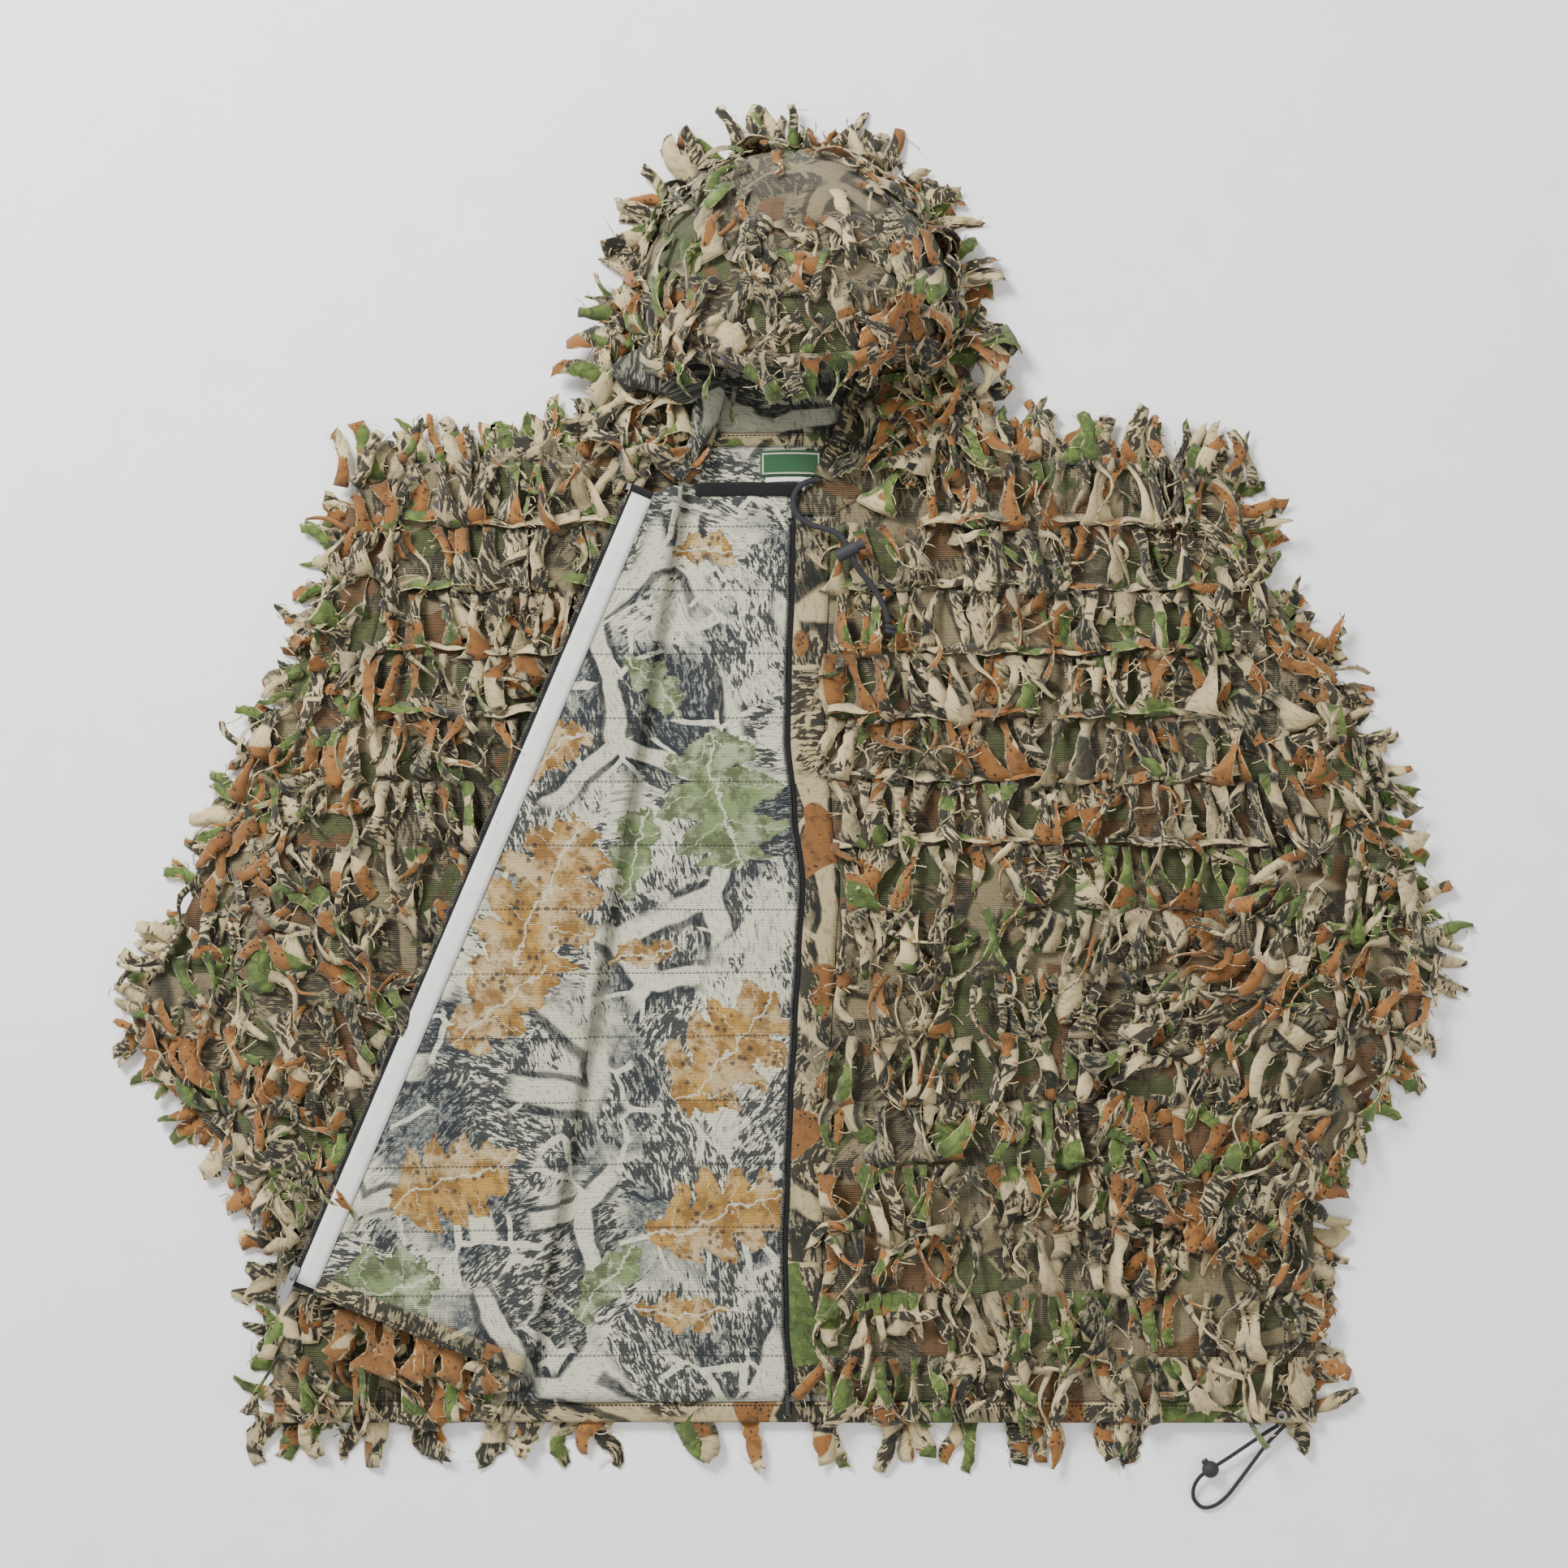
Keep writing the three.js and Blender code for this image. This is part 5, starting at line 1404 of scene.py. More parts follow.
def open_lining(x, y):
    """1 where the back lining shows between the crease and the zip, 0 under the fronts."""
    fold_x = FOLD_FOOT.x + (y - FOLD_FOOT.y) * FOLD_WAY.x / FOLD_WAY.y
    return soft_step(x, fold_x + 4, fold_x + 30) * (1 - soft_step(x, -32, -12)) * (1 - soft_step(y, 190,
                                                                                                 225))


class JACKET_OT_back(PieceOperator, bpy.types.Operator):
    """Makes the back of the jacket: its pale lining, its hem and the strips beneath it"""
    bl_idname = "jacket.back"
    bl_label = "Back"

    def make(self):
        low = HEM_Y + HEM_BAND + 0.3
        outline = side_from(low) + list(reversed(mirrored(side_from(low))))

        def height(x, y):
            shown = open_lining(x, y)
            quilt = abs(math.sin(math.pi * (y - HEM_Y) / ROW_PITCH)) * 1.6
            return 7.0 + shown * (quilt + 1.6 * max(wrinkle(x, y) + 0.6, 0))
        cloth = cloth_patch("back_lining_cloth", outline, 9, height, [lining_cloth(), outer_cloth()],
                            sizes().cloth,
                            True)
        settle(cloth, "root", "pale_lining", ["back_panel"])
        hem = hem_band("back_hem_band", -BODY_HALF, BODY_HALF, 7.0, "back_hem")
        strips = self.edge_strips()
        fringe = self.fringe()

    def edge_strips(self):
        """The rows under the back show only where they reach past its edge."""
        strips = Strips("back_leaf_strips", 11)
        rng = strips.rng
        line = [*side_from(HEM_Y + 8), (0, 249)]
        for side in (1, -1):
            own = line if side > 0 else mirrored(line)
            total = sum(math.dist(a, b) for a, b in zip(own, own[1:]))
            count = int(total / 13)
            for i in range(count):
                spot = along_line(own, (i + rng.random()) / count)
                near = along_line(own, min((i + 1.5) / count, 1))
                out = math.atan2(near.y - spot.y, near.x - spot.x) - side * math.pi / 2
                inward = Vector((math.cos(out), math.sin(out))) * -14
                to_plan = laid(spot + inward, out + rng.uniform(-0.7, 0.7), lambda x, y: 0.3)
                cut = (i * 0.013 + side, 0.31)
                loose(strips, to_plan, rng.uniform(26, 50), rng.uniform(12, 22), rng.uniform(2, 5), cut,
                      0.3)
        return strips.finish(["back_leaf_rows"])

    def fringe(self):
        """Strips that hang past the hem."""
        strips = Strips("hem_fringe_strips", 12)
        rng = strips.rng
        for x in (-402, -384, -362, -330, -322, -282, -276, -228, -204, -200, -168, -150, -142, -78, -72,
                  -36, 22,
                  26, 72, 92, 96, 130, 134, 170, 182, 190, 238, 254, 260, 372):
            root = (mix(x, 0, 0.03), HEM_Y + 6)
            to_plan = laid(root, -math.pi / 2 + rng.uniform(-0.22, 0.22), lambda x, y: 0.3)
            loose(strips, to_plan, rng.uniform(34, 46), rng.uniform(15, 24), rng.uniform(3, 9),
                  (rng.uniform(0, 3), rng.uniform(0, 3)), 0.35)
        return strips.finish(["hem_fringe"])


def hem_band(name, low, high, z, replaced, look=None, body="root"):
    """A folded, stitched band along the hem, softly rounded at its lower edge."""
    count = max(int((high - low) / 12), 2)
    rows = []
    band = []
    profile = ((HEM_BAND, 0.0), (HEM_BAND * 0.75, 0.35), (HEM_BAND * 0.4, 0.6), (HEM_BAND * 0.12, 0.3),
               (0.0, -0.3))
    for up, rise in profile:
        row = []
        for i in range(count + 1):
            x = mix(low, high, i / count)
            ripple = 0.5 * math.sin(x * 0.11) * between(up, 0, 8)
            row.append((x, HEM_Y + up, z + rise + ripple * 0.5))
            band.append((x * MM, up / HEM_BAND))
        rows.append(row)
    rows.reverse()
    ordered = []
    wide = count + 1
    for j in reversed(range(len(profile))):
        ordered.extend(band[j * wide:(j + 1) * wide])
    obj = grid_piece(name, rows, [look or band_cloth()], 1.3 * MM, band=ordered)
    return settle(obj, body, "hem_band", [replaced])


class JACKET_OT_left_front(PieceOperator, bpy.types.Operator):
    """Makes the wearer's left front with its rows of strips, its zip half and its placket"""
    bl_idname = "jacket.left_front"
    bl_label = "Left front"

    def make(self):
        low = HEM_Y + HEM_BAND + 0.3
        outline = left_front_outline(low)
        cloth = cloth_patch("left_front_cloth", outline, 12, lambda x, y: 8.8, [outer_cloth()],
                            sizes().cloth)
        settle(cloth, "root", "camouflage_cloth", ["left_front_panel"])
        hem = hem_band("left_front_hem_band", zip_x(HEM_Y) + 22.6, BODY_HALF, 8.9, "left_front_hem")
        strips = self.rows(outline)
        placket = zip_ribbon("zip_placket_cloth", -2.5, 22.3, 9.9, band_cloth(), 0.9, 0.7)
        settle(placket, "root", "camouflage_cloth", ["left_front_placket"])
        tape = zip_ribbon("left_zip_webbing", -6, 5, 8.6, black_webbing(), 0.9, 0.0)
        settle(tape, "root", "black_tape", ["left_zip_tape"])
        teeth = zip_teeth("left_zip_teeth", [(zip_x(y) - 7.5, y, 9.3) for y in range(ZIP_FOOT_Y,
                                                                                     ZIP_TOP_Y + 1, 6)])
        settle(teeth, "root", "zip_coil", ["left_zip_coil"])

    def rows(self, outline):
        strips = Strips("left_front_strips", 21)
        cover = sleeve_outline(LEFT_ARM)

        def keep(x, y):
            return not inside((x - 14, y - 12), cover) or y > -30

        def order(x, y):
            return 0.75 if y > -40 and x < 300 else 0.2
        front_rows(strips, outline, keep, order, lambda x, y: FRONT_TOP)
        shoulder_strips(strips, 1)
        return strips.finish(["left_front_leaf_rows"])


def shoulder_strips(strips, side):
    """Strips that stand up past the shoulder seam."""
    rng = strips.rng
    for i in range(26):
        t = (i + rng.random()) / 26
        x = mix(NECK_SIDE[0], SHOULDER[0] + 50, t) * side
        y = mix(NECK_SIDE[1], SHOULDER[1] - 8, t)
        to_plan = laid((x, y - 8), math.pi / 2 + rng.uniform(-0.6, 0.6), lambda x, y: 6)
        loose(strips, to_plan, rng.uniform(30, 52), rng.uniform(10, 18), rng.uniform(6, 16),
              (rng.uniform(0, 2), rng.uniform(0, 2)))


def zip_ribbon(name, low, high, z, look, thickness, bow):
    """A band that follows the left zip between two distances beside it."""
    rows = []
    for y in range(ZIP_FOOT_Y, ZIP_TOP_Y + 1, 5):
        middle = zip_x(y)
        waver = 0.35 * math.sin(y * 0.13)
        rows.append([(middle + mix(low, high, t), y, z + bow * math.sin(math.pi * t) + waver * t * (1 - t))
                     for t in (0, 0.2, 0.4, 0.6, 0.8, 1)])
    obj = grid_piece(name, rows, [look], thickness * MM)
    return obj


def zip_teeth(name, line, half=1.25, rise=1.15, pitch=1.7):
    """A row of small moulded loops along a line: one for each turn of the coil."""
    points, faces = [], []
    runs = [0.0]
    for a, b in zip(line, line[1:]):
        runs.append(runs[-1] + math.dist(a, b))
    at = pitch / 2
    k = 0
    profile = ((-1, -0.5), (-0.7, -1), (0.7, -1), (1, -0.5), (1, 0.5), (0.55, 1), (-0.55, 1), (-1, 0.5))
    while at < runs[-1]:
        while runs[k + 1] < at:
            k += 1
        t = (at - runs[k]) / (runs[k + 1] - runs[k])
        a, b = Vector(line[k]), Vector(line[k + 1])
        spot = a.lerp(b, t)
        ahead = (b - a).normalized()
        aside = ahead.cross(Vector((0, 0, 1))).normalized()
        above = aside.cross(ahead)
        first = len(points)
        for shift in (-0.3, 0.3):
            for px, pz in profile:
                lean = 0.25 * px
                points.append(tuple(spot + ahead * (shift * pitch + lean * pitch * 0.5) + aside * px * half
                                    + above * pz * rise))
        size = len(profile)
        faces.append(tuple(first + i for i in reversed(range(size))))
        faces.append(tuple(first + size + i for i in range(size)))
        for i in range(size):
            j = (i + 1) % size
            faces.append((first + i, first + j, first + size + j, first + size + i))
        at += pitch
    obj = mesh_piece(name, points, [tuple(reversed(f)) for f in faces], [zip_nylon()])
    return obj


class JACKET_OT_right_front(PieceOperator, bpy.types.Operator):
    """Makes the part of the wearer's right front that stays down beside the opened flap"""
    bl_idname = "jacket.right_front"
    bl_label = "Right front"

    def make(self):
        low = HEM_Y + HEM_BAND + 0.3
        outline = right_front_outline(low)
        cloth = cloth_patch("right_front_cloth", outline, 12, lambda x, y: 8.8, [outer_cloth()],
                            sizes().cloth)
        settle(cloth, "root", "camouflage_cloth", ["right_front_panel"])
        hem = hem_band("right_front_hem_band", -BODY_HALF, from_fold(TURN_START, 0)[0] - 45, 8.9,
                       "right_front_hem")
        strips = Strips("right_front_strips", 31)
        cover = sleeve_outline(RIGHT_ARM)
        shadow = flap_shadow()

        def keep(x, y):
            return not inside((x, y), shadow) and (not inside((x + 14, y - 12), cover) or y > -30)
        front_rows(strips, outline, keep, lambda x, y: 0.45 if y > 60 else 0.2, lambda x, y: FRONT_TOP)
        shoulder_strips(strips, -1)
        self.under_flap(strips, outline, shadow, cover)
        strips.finish(["right_front_leaf_rows"])

    def under_flap(self, strips, outline, shadow, cover):
        """The same rows carried on below the opened flap, which presses them flat."""
        rng = strips.rng

        def keep(x, y):
            spot = Vector((x, y)) - FOLD_FOOT
            across, along = spot.dot(FOLD_ACROSS), spot.dot(FOLD_WAY)
            zip_line = mix(FLAP_HEM[0], FLAP_NECK[0], (along - FLAP_HEM[1]) / (FLAP_NECK[1] - FLAP_HEM[1]))
            slider_passes = along > SLIDER_WAY_FROM and -48 < across - zip_line < 20
            return (across < -CREASE_MARGIN and not slider_passes and inside((x, y), shadow)
                    and not inside((x + 14, y - 12), cover))
        y = HEM_Y + HEM_BAND + ROW_PITCH * 0.72
        row = 0
        while y < NECK_SIDE[1]:
            row += 1
            for low, high in row_pieces(outline, y, keep=keep):
                for layer in range(2):
                    x = low + rng.uniform(0, 8)
                    while x < high:
                        width = rng.uniform(9, 18)
                        to_plan = laid((x, y + rng.uniform(-6, 6)), -math.pi / 2 + rng.uniform(-0.3, 0.3),
                                       lambda x, y: FRONT_TOP + 0.4 * layer)
                        cut = ((row * 0.617) % 3 + x * MM + rng.uniform(-0.4, 0.4), row * 0.233 + layer)
                        pressed(strips, to_plan, rng.uniform(30, 52), width, cut)
                        x += width * rng.uniform(0.8, 1.4)
            y += ROW_PITCH


def flap_point(f, t, w=None):
    """A point of the flap cloth: f from the hem end to the neck end, t from the crease to the zip edge."""
    v_fold = mix(1.6, FOLD_LENGTH - 2, f)
    u = mix(TURN_START, mix(FLAP_HEM[0], FLAP_NECK[0], f), t)
    v = mix(v_fold, mix(FLAP_HEM[1], FLAP_NECK[1], f), t)
    return u, v, FOLD_RADIUS if w is None else w


def flap_swell(f, t):
    """Soft waves of the opened flap, none at its crease or its zip edge."""
    free = math.sin(math.pi * between(t, 0, 1)) ** 0.7
    return free * (1.6 + 1.7 * math.sin(f * 17 + 3 * t) + 1.1 * math.sin(f * 41 - 5 * t)) * (1 - 0.75 * f)


class JACKET_OT_flap(PieceOperator, bpy.types.Operator):
    """Makes the opened right front: its lining, crease, hem, strips and zip half"""
    bl_idname = "jacket.flap"
    bl_label = "Opened front"

    def make(self):
        cloth = self.cloth()
        hem = self.hem()
        strips = self.strips()
        tape, facing, teeth = self.zip_half()

    def cloth(self):
        rows = []
        cloth = []
        along = 84
        hem_share = HEM_BAND / FOLD_LENGTH
        for j in range(along + 1):
            f = mix(hem_share, 1, j / along)
            v_fold = mix(1.6, FOLD_LENGTH - 2, f)
            row = []
            run = 0.0
            section = [(TURN_START - 12, -FOLD_RADIUS, 0.0), (TURN_START - 5, -FOLD_RADIUS, 0.0)]
            for k in range(9):
                angle = math.pi * (k / 8 - 0.5)
                section.append((TURN_START + FOLD_RADIUS * math.cos(angle), FOLD_RADIUS * math.sin(angle),
                                k / 8))
            for u, w, tilt in section:
                x, y = from_fold(u, v_fold)
                spot = on_flap(u, v_fold, w)
                row.append((mix(x, spot[0], tilt), mix(y, spot[1], tilt), mix(FOLD_Z + w, spot[2], tilt)))
            for k in range(1, 19):
                t = k / 18
                u, v, w = flap_point(f, t)
                row.append(on_flap(u, v, w + flap_swell(f, t)))
            for i, p in enumerate(row):
                if i:
                    run += math.dist(row[i - 1], p)
                cloth.append((p[0] * MM, p[1] * MM))
            rows.append(row)
        in_row = len(rows[0])
        flipped = [c for j in range(along + 1) for c in reversed(cloth[j * in_row:(j + 1) * in_row])]
        obj = grid_piece("flap_cloth", [list(reversed(r)) for r in rows], [lining_cloth(), outer_cloth()],
                         sizes().cloth, True, flipped)
        obj.data.shade_smooth()
        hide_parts("flap_panel")
        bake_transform(obj)
        return obj

    def hem(self):
        rows = []
        band = []
        for j in range(6):
            f = mix(0, HEM_BAND / FOLD_LENGTH, j / 5)
            row = []
            for k in range(20):
                t = k / 19
                u, v, w = flap_point(f, t)
                row.append(on_flap(u, v, w + flap_swell(f, t) + 0.9 * math.sin(math.pi * j / 5)))
                band.append((u * MM, 1 - j / 5))
            rows.append(row)
        wide = 20
        flipped = [b for j in range(6) for b in reversed(band[j * wide:(j + 1) * wide])]
        obj = grid_piece("flap_hem_band", [list(reversed(r)) for r in rows], [band_cloth()], 1.3 * MM,
                         band=flipped)
        return settle(obj, "front_flap", "hem_band", ["flap_hem"])

    def strips(self):
        """Rows on the flap's outer face, pressed flat beneath it while it lies open."""
        strips = Strips("flap_strips", 41)
        rng = strips.rng
        v = 30.0
        row = 0
        while v < FOLD_LENGTH - 10:
            row += 1
            f = v / FOLD_LENGTH
            edge = mix(FLAP_HEM[0], FLAP_NECK[0], f) + 8
            u = edge + 10
            while u < TURN_START - 4:
                width = rng.uniform(14, 24)
                length = rng.uniform(36, 46)
                heading = rng.uniform(-0.25, 0.25)

                def to_plan(p, u=u, heading=heading, v=v):
                    across = u + p.x * math.sin(heading) - p.y * math.cos(heading)
                    along = v - p.x * math.cos(heading) - p.y * math.sin(heading)
                    return on_flap(max(min(across, TURN_START), edge - 14), along,
                                   FOLD_RADIUS - 1.2 - min(p.z, 4.4))
                cut = (row * 0.617 % 3 + u * MM, row * 0.233)
                if rng.random() < 0.5:
                    toothed(strips, to_plan, length, width, 3.5, cut)
                else:
                    loose(strips, to_plan, length, width, 3.5, cut, 0.2)
                u += width * 0.85
            v += ROW_PITCH
        return strips.finish(["flap_leaf_rows"], body="front_flap")

    def zip_half(self):
        edge_foot = Vector((*FLAP_HEM, FOLD_RADIUS - 0.75))
        way = Vector((FLAP_NECK[0] - FLAP_HEM[0], FLAP_NECK[1] - FLAP_HEM[1], 0))
        length = way.length
        way.normalize()
        aside = Vector((way.y, -way.x, 0))

        def beside(x, y, z):
            spot = edge_foot + aside * x + way * y + Vector((0, 0, z))
            return on_flap(*spot)

        def strip_of(name, low, high, z, look, thickness, ends, bow):
            rows = []
            for j in range(90):
                y = mix(ends[0], ends[1], j / 89)
                rows.append([beside(mix(low, high, t), y, z + bow * math.sin(math.pi * t))
                             for t in (0, 0.25, 0.5, 0.75, 1)])
            cloth = [(mix(low, high, t) * MM, mix(ends[0], ends[1], j / 89) * MM) for j in range(90)
                     for t in (0, 0.25, 0.5, 0.75, 1)]
            return grid_piece(name, rows, [look], thickness * MM, cloth=cloth)
        tape = strip_of("right_zip_webbing", -17, -0.3, 0.5, black_webbing(), 0.9, (0, length), 0)
        settle(tape, "front_flap", "black_tape", ["right_zip_tape"])
        facing = strip_of("right_zip_facing", -15, 0.6, 1.7, white_webbing(), 0.9, (4, length - 6), 0.5)
        settle(facing, "front_flap", "white_tape", ["right_zip_facing_tape"])
        teeth = zip_teeth("right_zip_teeth", [beside(-18.5, y, 0.5) for y in range(0, int(length) - 6, 8)])
        settle(teeth, "front_flap", "zip_coil", ["right_zip_coil"])
        return tape, facing, teeth


def sleeve_height(x, y):
    return lift(x, y) + 8.3


class SleeveOperator(PieceOperator):
    """Makes a sleeve, its cuff and its strips for one arm"""
    arm = LEFT_ARM
    word = "left"
    seed = 51

    def make(self):
        side = self.arm["side"]
        outline = sleeve_outline(self.arm)
        cloth = cloth_patch(f"{self.word}_sleeve_cloth", outline, 11, sleeve_height, [outer_cloth()],
                            3.4 * MM)
        settle(cloth, "root", "camouflage_cloth", [f"{self.word}_sleeve"])
        cuff = self.cuff()
        under = self.edge_strips()
        over = self.rows()

    def ends(self):
        """The cuff's outer and inner corners on the plan."""
        outer, inner = sleeve_lines(self.arm)
        side = self.arm["side"]
        return Vector((outer[-1][0] * side, outer[-1][1])), Vector((inner[-1][0] * side, inner[-1][1]))

    def cuff(self):
        """A stitched band round the sleeve's end."""
        side = self.arm["side"]
        a, b = self.ends()
        across = (b - a).normalized()
        back = Vector((-across.y, across.x)) * side * -1
        if back.y < 0:
            back = -back
        rows = []
        band = []
        for j in range(6):
            t = j / 5
            row = []
            for k in range(15):
                spot = a.lerp(b, k / 14) + back * (26 * t)
                swell = math.sin(math.pi * k / 14) * 1.2 + 0.5 * math.sin(k * 1.3)
                row.append((spot.x, spot.y, lift(spot.x, spot.y) + 9.0 + swell * 0.6))
                band.append(((b - a).length * k / 14 * MM, 1 - t))
            rows.append(row)
        obj = grid_piece(f"{self.word}_cuff_band", rows, [band_cloth()], 4.2 * MM, band=band)
        return settle(obj, "root", "hem_band", [f"{self.word}_cuff"])

    def edge_strips(self):
        """Strips below the sleeve that reach past its outer line."""
        strips = Strips(f"{self.word}_sleeve_under_strips", self.seed + 1)
        rng = strips.rng
        side = self.arm["side"]
        outer, inner = sleeve_lines(self.arm)
        line = outer if side > 0 else mirrored(outer)
        total = sum(math.dist(a, b) for a, b in zip(line, line[1:]))
        count = int(total / 8)
        for i in range(count):
            t = (i + rng.random()) / count
            spot = along_line(line, t)
            near = along_line(line, min(t + 0.02, 1)) if t < 0.97 else spot + (spot - along_line(line,
                                                                                                 t - 0.02))
            out = math.atan2(near.y - spot.y, near.x - spot.x) + side * math.pi / 2
            inward = Vector((math.cos(out), math.sin(out))) * -12
            drop = -0.7 * side if t > 0.1 else 0
            to_plan = laid(spot + inward, out + drop * rng.random() + rng.uniform(-0.4, 0.4),
                           lambda x, y: lift(x, y) * 0.9 + 0.3)
            loose(strips, to_plan, rng.uniform(28, 48), rng.uniform(9, 18), rng.uniform(2, 9),
                  (t * 0.9 + rng.uniform(0, 0.1), 0.9), 0.4)
        return strips.finish([f"{self.word}_sleeve_under_leaf_rows"])

    def rows(self):
        """Rows that run across the arm, one after the other from the shoulder to the cuff."""
        strips = Strips(f"{self.word}_sleeve_strips", self.seed)
        rng = strips.rng
        side = self.arm["side"]
        outer, inner = sleeve_lines(self.arm)
        cover = flap_shadow(22) if side < 0 else []
        facing = flap_shadow(4) if side < 0 else []

        def reaches_flap(start, heading, length):
            tip = start + Vector((math.cos(heading), math.sin(heading))) * length
            return bool(facing) and inside(tip, facing)
        count = 19
        for row in range(count):
            t = (row + 0.15) / count
            a, b = along_line(inner, t), along_line(outer, t)
            na, nb = along_line(inner, min(t + 1 / count, 1)), along_line(outer, min(t + 1 / count, 1))
            run = (b - a).length
            at = rng.uniform(-4, 4)
            while at < run + 4:
                share = at / run
                width = rng.uniform(8, 18)
                root = a.lerp(b, share)
                ahead = na.lerp(nb, share) - root
                pitch = max(ahead.length, 34)
                way = math.atan2(ahead.y, ahead.x * side)
                root = Vector((root.x * side, root.y))
                at += width * rng.uniform(0.85, 1.5)
                if cover and inside(root, cover):
                    continue
                heading = way + rng.uniform(-0.55, 0.55)
                if reaches_flap(root, heading, pitch):
                    continue
                to_plan = laid(root, heading, lambda x, y: lift(x, y) + SLEEVE_TOP)
                cut = ((row * 0.617) % 3 + at * MM + rng.uniform(-0.01, 0.01), row * 0.19 + side)
                kind = rng.random()
                if kind < 0.34:
                    toothed(strips, to_plan, pitch, width, rng.uniform(6, 13), cut)
                elif kind < 0.68:
                    loose(strips, to_plan, rng.uniform(34, 58), width * 0.85, rng.uniform(8, 15), cut)
                elif kind < 0.9:
                    thin(strips, to_plan, rng.uniform(40, 66), width * 0.7, 12, cut)
                else:
                    flat_leaf(strips, to_plan, rng.uniform(32, 46), width * 1.3, cut)
                if rng.random() < 0.5:
                    start = root + Vector((rng.uniform(-10, 10), rng.uniform(-10, 10)))
                    heading = rng.uniform(0, math.tau)
                    if reaches_flap(start, heading, 44):
                        continue
                    extra = laid(start, heading, lambda x, y: lift(x, y) + SLEEVE_TOP)
                    loose(strips, extra, rng.uniform(26, 44), width * 0.6, rng.uniform(9, 17),
                          (cut[0] + 0.7, cut[1]))
        return strips.finish([f"{self.word}_sleeve_leaf_rows"])


class JACKET_OT_left_sleeve(SleeveOperator, bpy.types.Operator):
    """Makes the wearer's left sleeve, laid back over the front"""
    bl_idname = "jacket.left_sleeve"
    bl_label = "Left sleeve"
    arm = LEFT_ARM
    word = "left"
    seed = 51


class JACKET_OT_right_sleeve(SleeveOperator, bpy.types.Operator):
    """Makes the wearer's right sleeve, laid under the edge of the opened front"""
    bl_idname = "jacket.right_sleeve"
    bl_label = "Right sleeve"
    arm = RIGHT_ARM
    word = "right"
    seed = 61


# ---------------------------------------------------------------- hood

BRIM_LEAN = math.radians(24.5)
POLE = Vector((0, HOOD_HALF_LENGTH * math.cos(BRIM_LEAN), HOOD_HEIGHT * math.sin(BRIM_LEAN))).normalized()
POLE_UP = Vector((0, -POLE.z, POLE.y))
BRIM_ANGLE = math.radians(99.7)


def on_crown(turn, fall, larger=0.0):
    """A point of the hood's crown and its outward direction: turn goes round the crown from the
    wearer's left side over the top, and fall from the back of the head, 0, to the brim, 1."""
    angle = fall * BRIM_ANGLE
    ring = Vector((1, 0, 0)) * math.cos(turn) + POLE_UP * math.sin(turn)
    unit = POLE * math.cos(angle) + ring * math.sin(angle)
    out = Vector((unit.x / HOOD_HALF_WIDTH, unit.y / HOOD_HALF_LENGTH, unit.z / HOOD_HEIGHT)).normalized()
    spot = Vector((unit.x * HOOD_HALF_WIDTH, HOOD_Y + unit.y * HOOD_HALF_LENGTH,
                   FRONT_Z + unit.z * HOOD_HEIGHT))
    return spot + out * larger, out


def ground_fall(turn):
    """How far the crown falls at a turn before it meets the ground, as a share of the brim's."""
    rise = math.sin(turn) * POLE_UP.z
    if rise >= 0:
        return 1.0
    return min(1.0, math.atan2(POLE.z, -rise) / BRIM_ANGLE)


def crown_map(turn, fall, heading):
    """Maps a strip's own (along, aside, up) to the plan over the curved crown."""
    spot, out = on_crown(turn, fall, 1.0)
    near, _ = on_crown(turn, fall + 0.02, 1.0)
    down = (near - spot).normalized()
    aside = out.cross(down)
    ahead = down * math.cos(heading) + aside * math.sin(heading)
    side = out.cross(ahead)

    def to_plan(p):
        bow = (p.x ** 2 + p.y ** 2) / 230
        place_at = spot + ahead * p.x + side * p.y + out * (p.z - bow)
        return place_at.x, place_at.y, max(place_at.z, 0.6)
    return to_plan


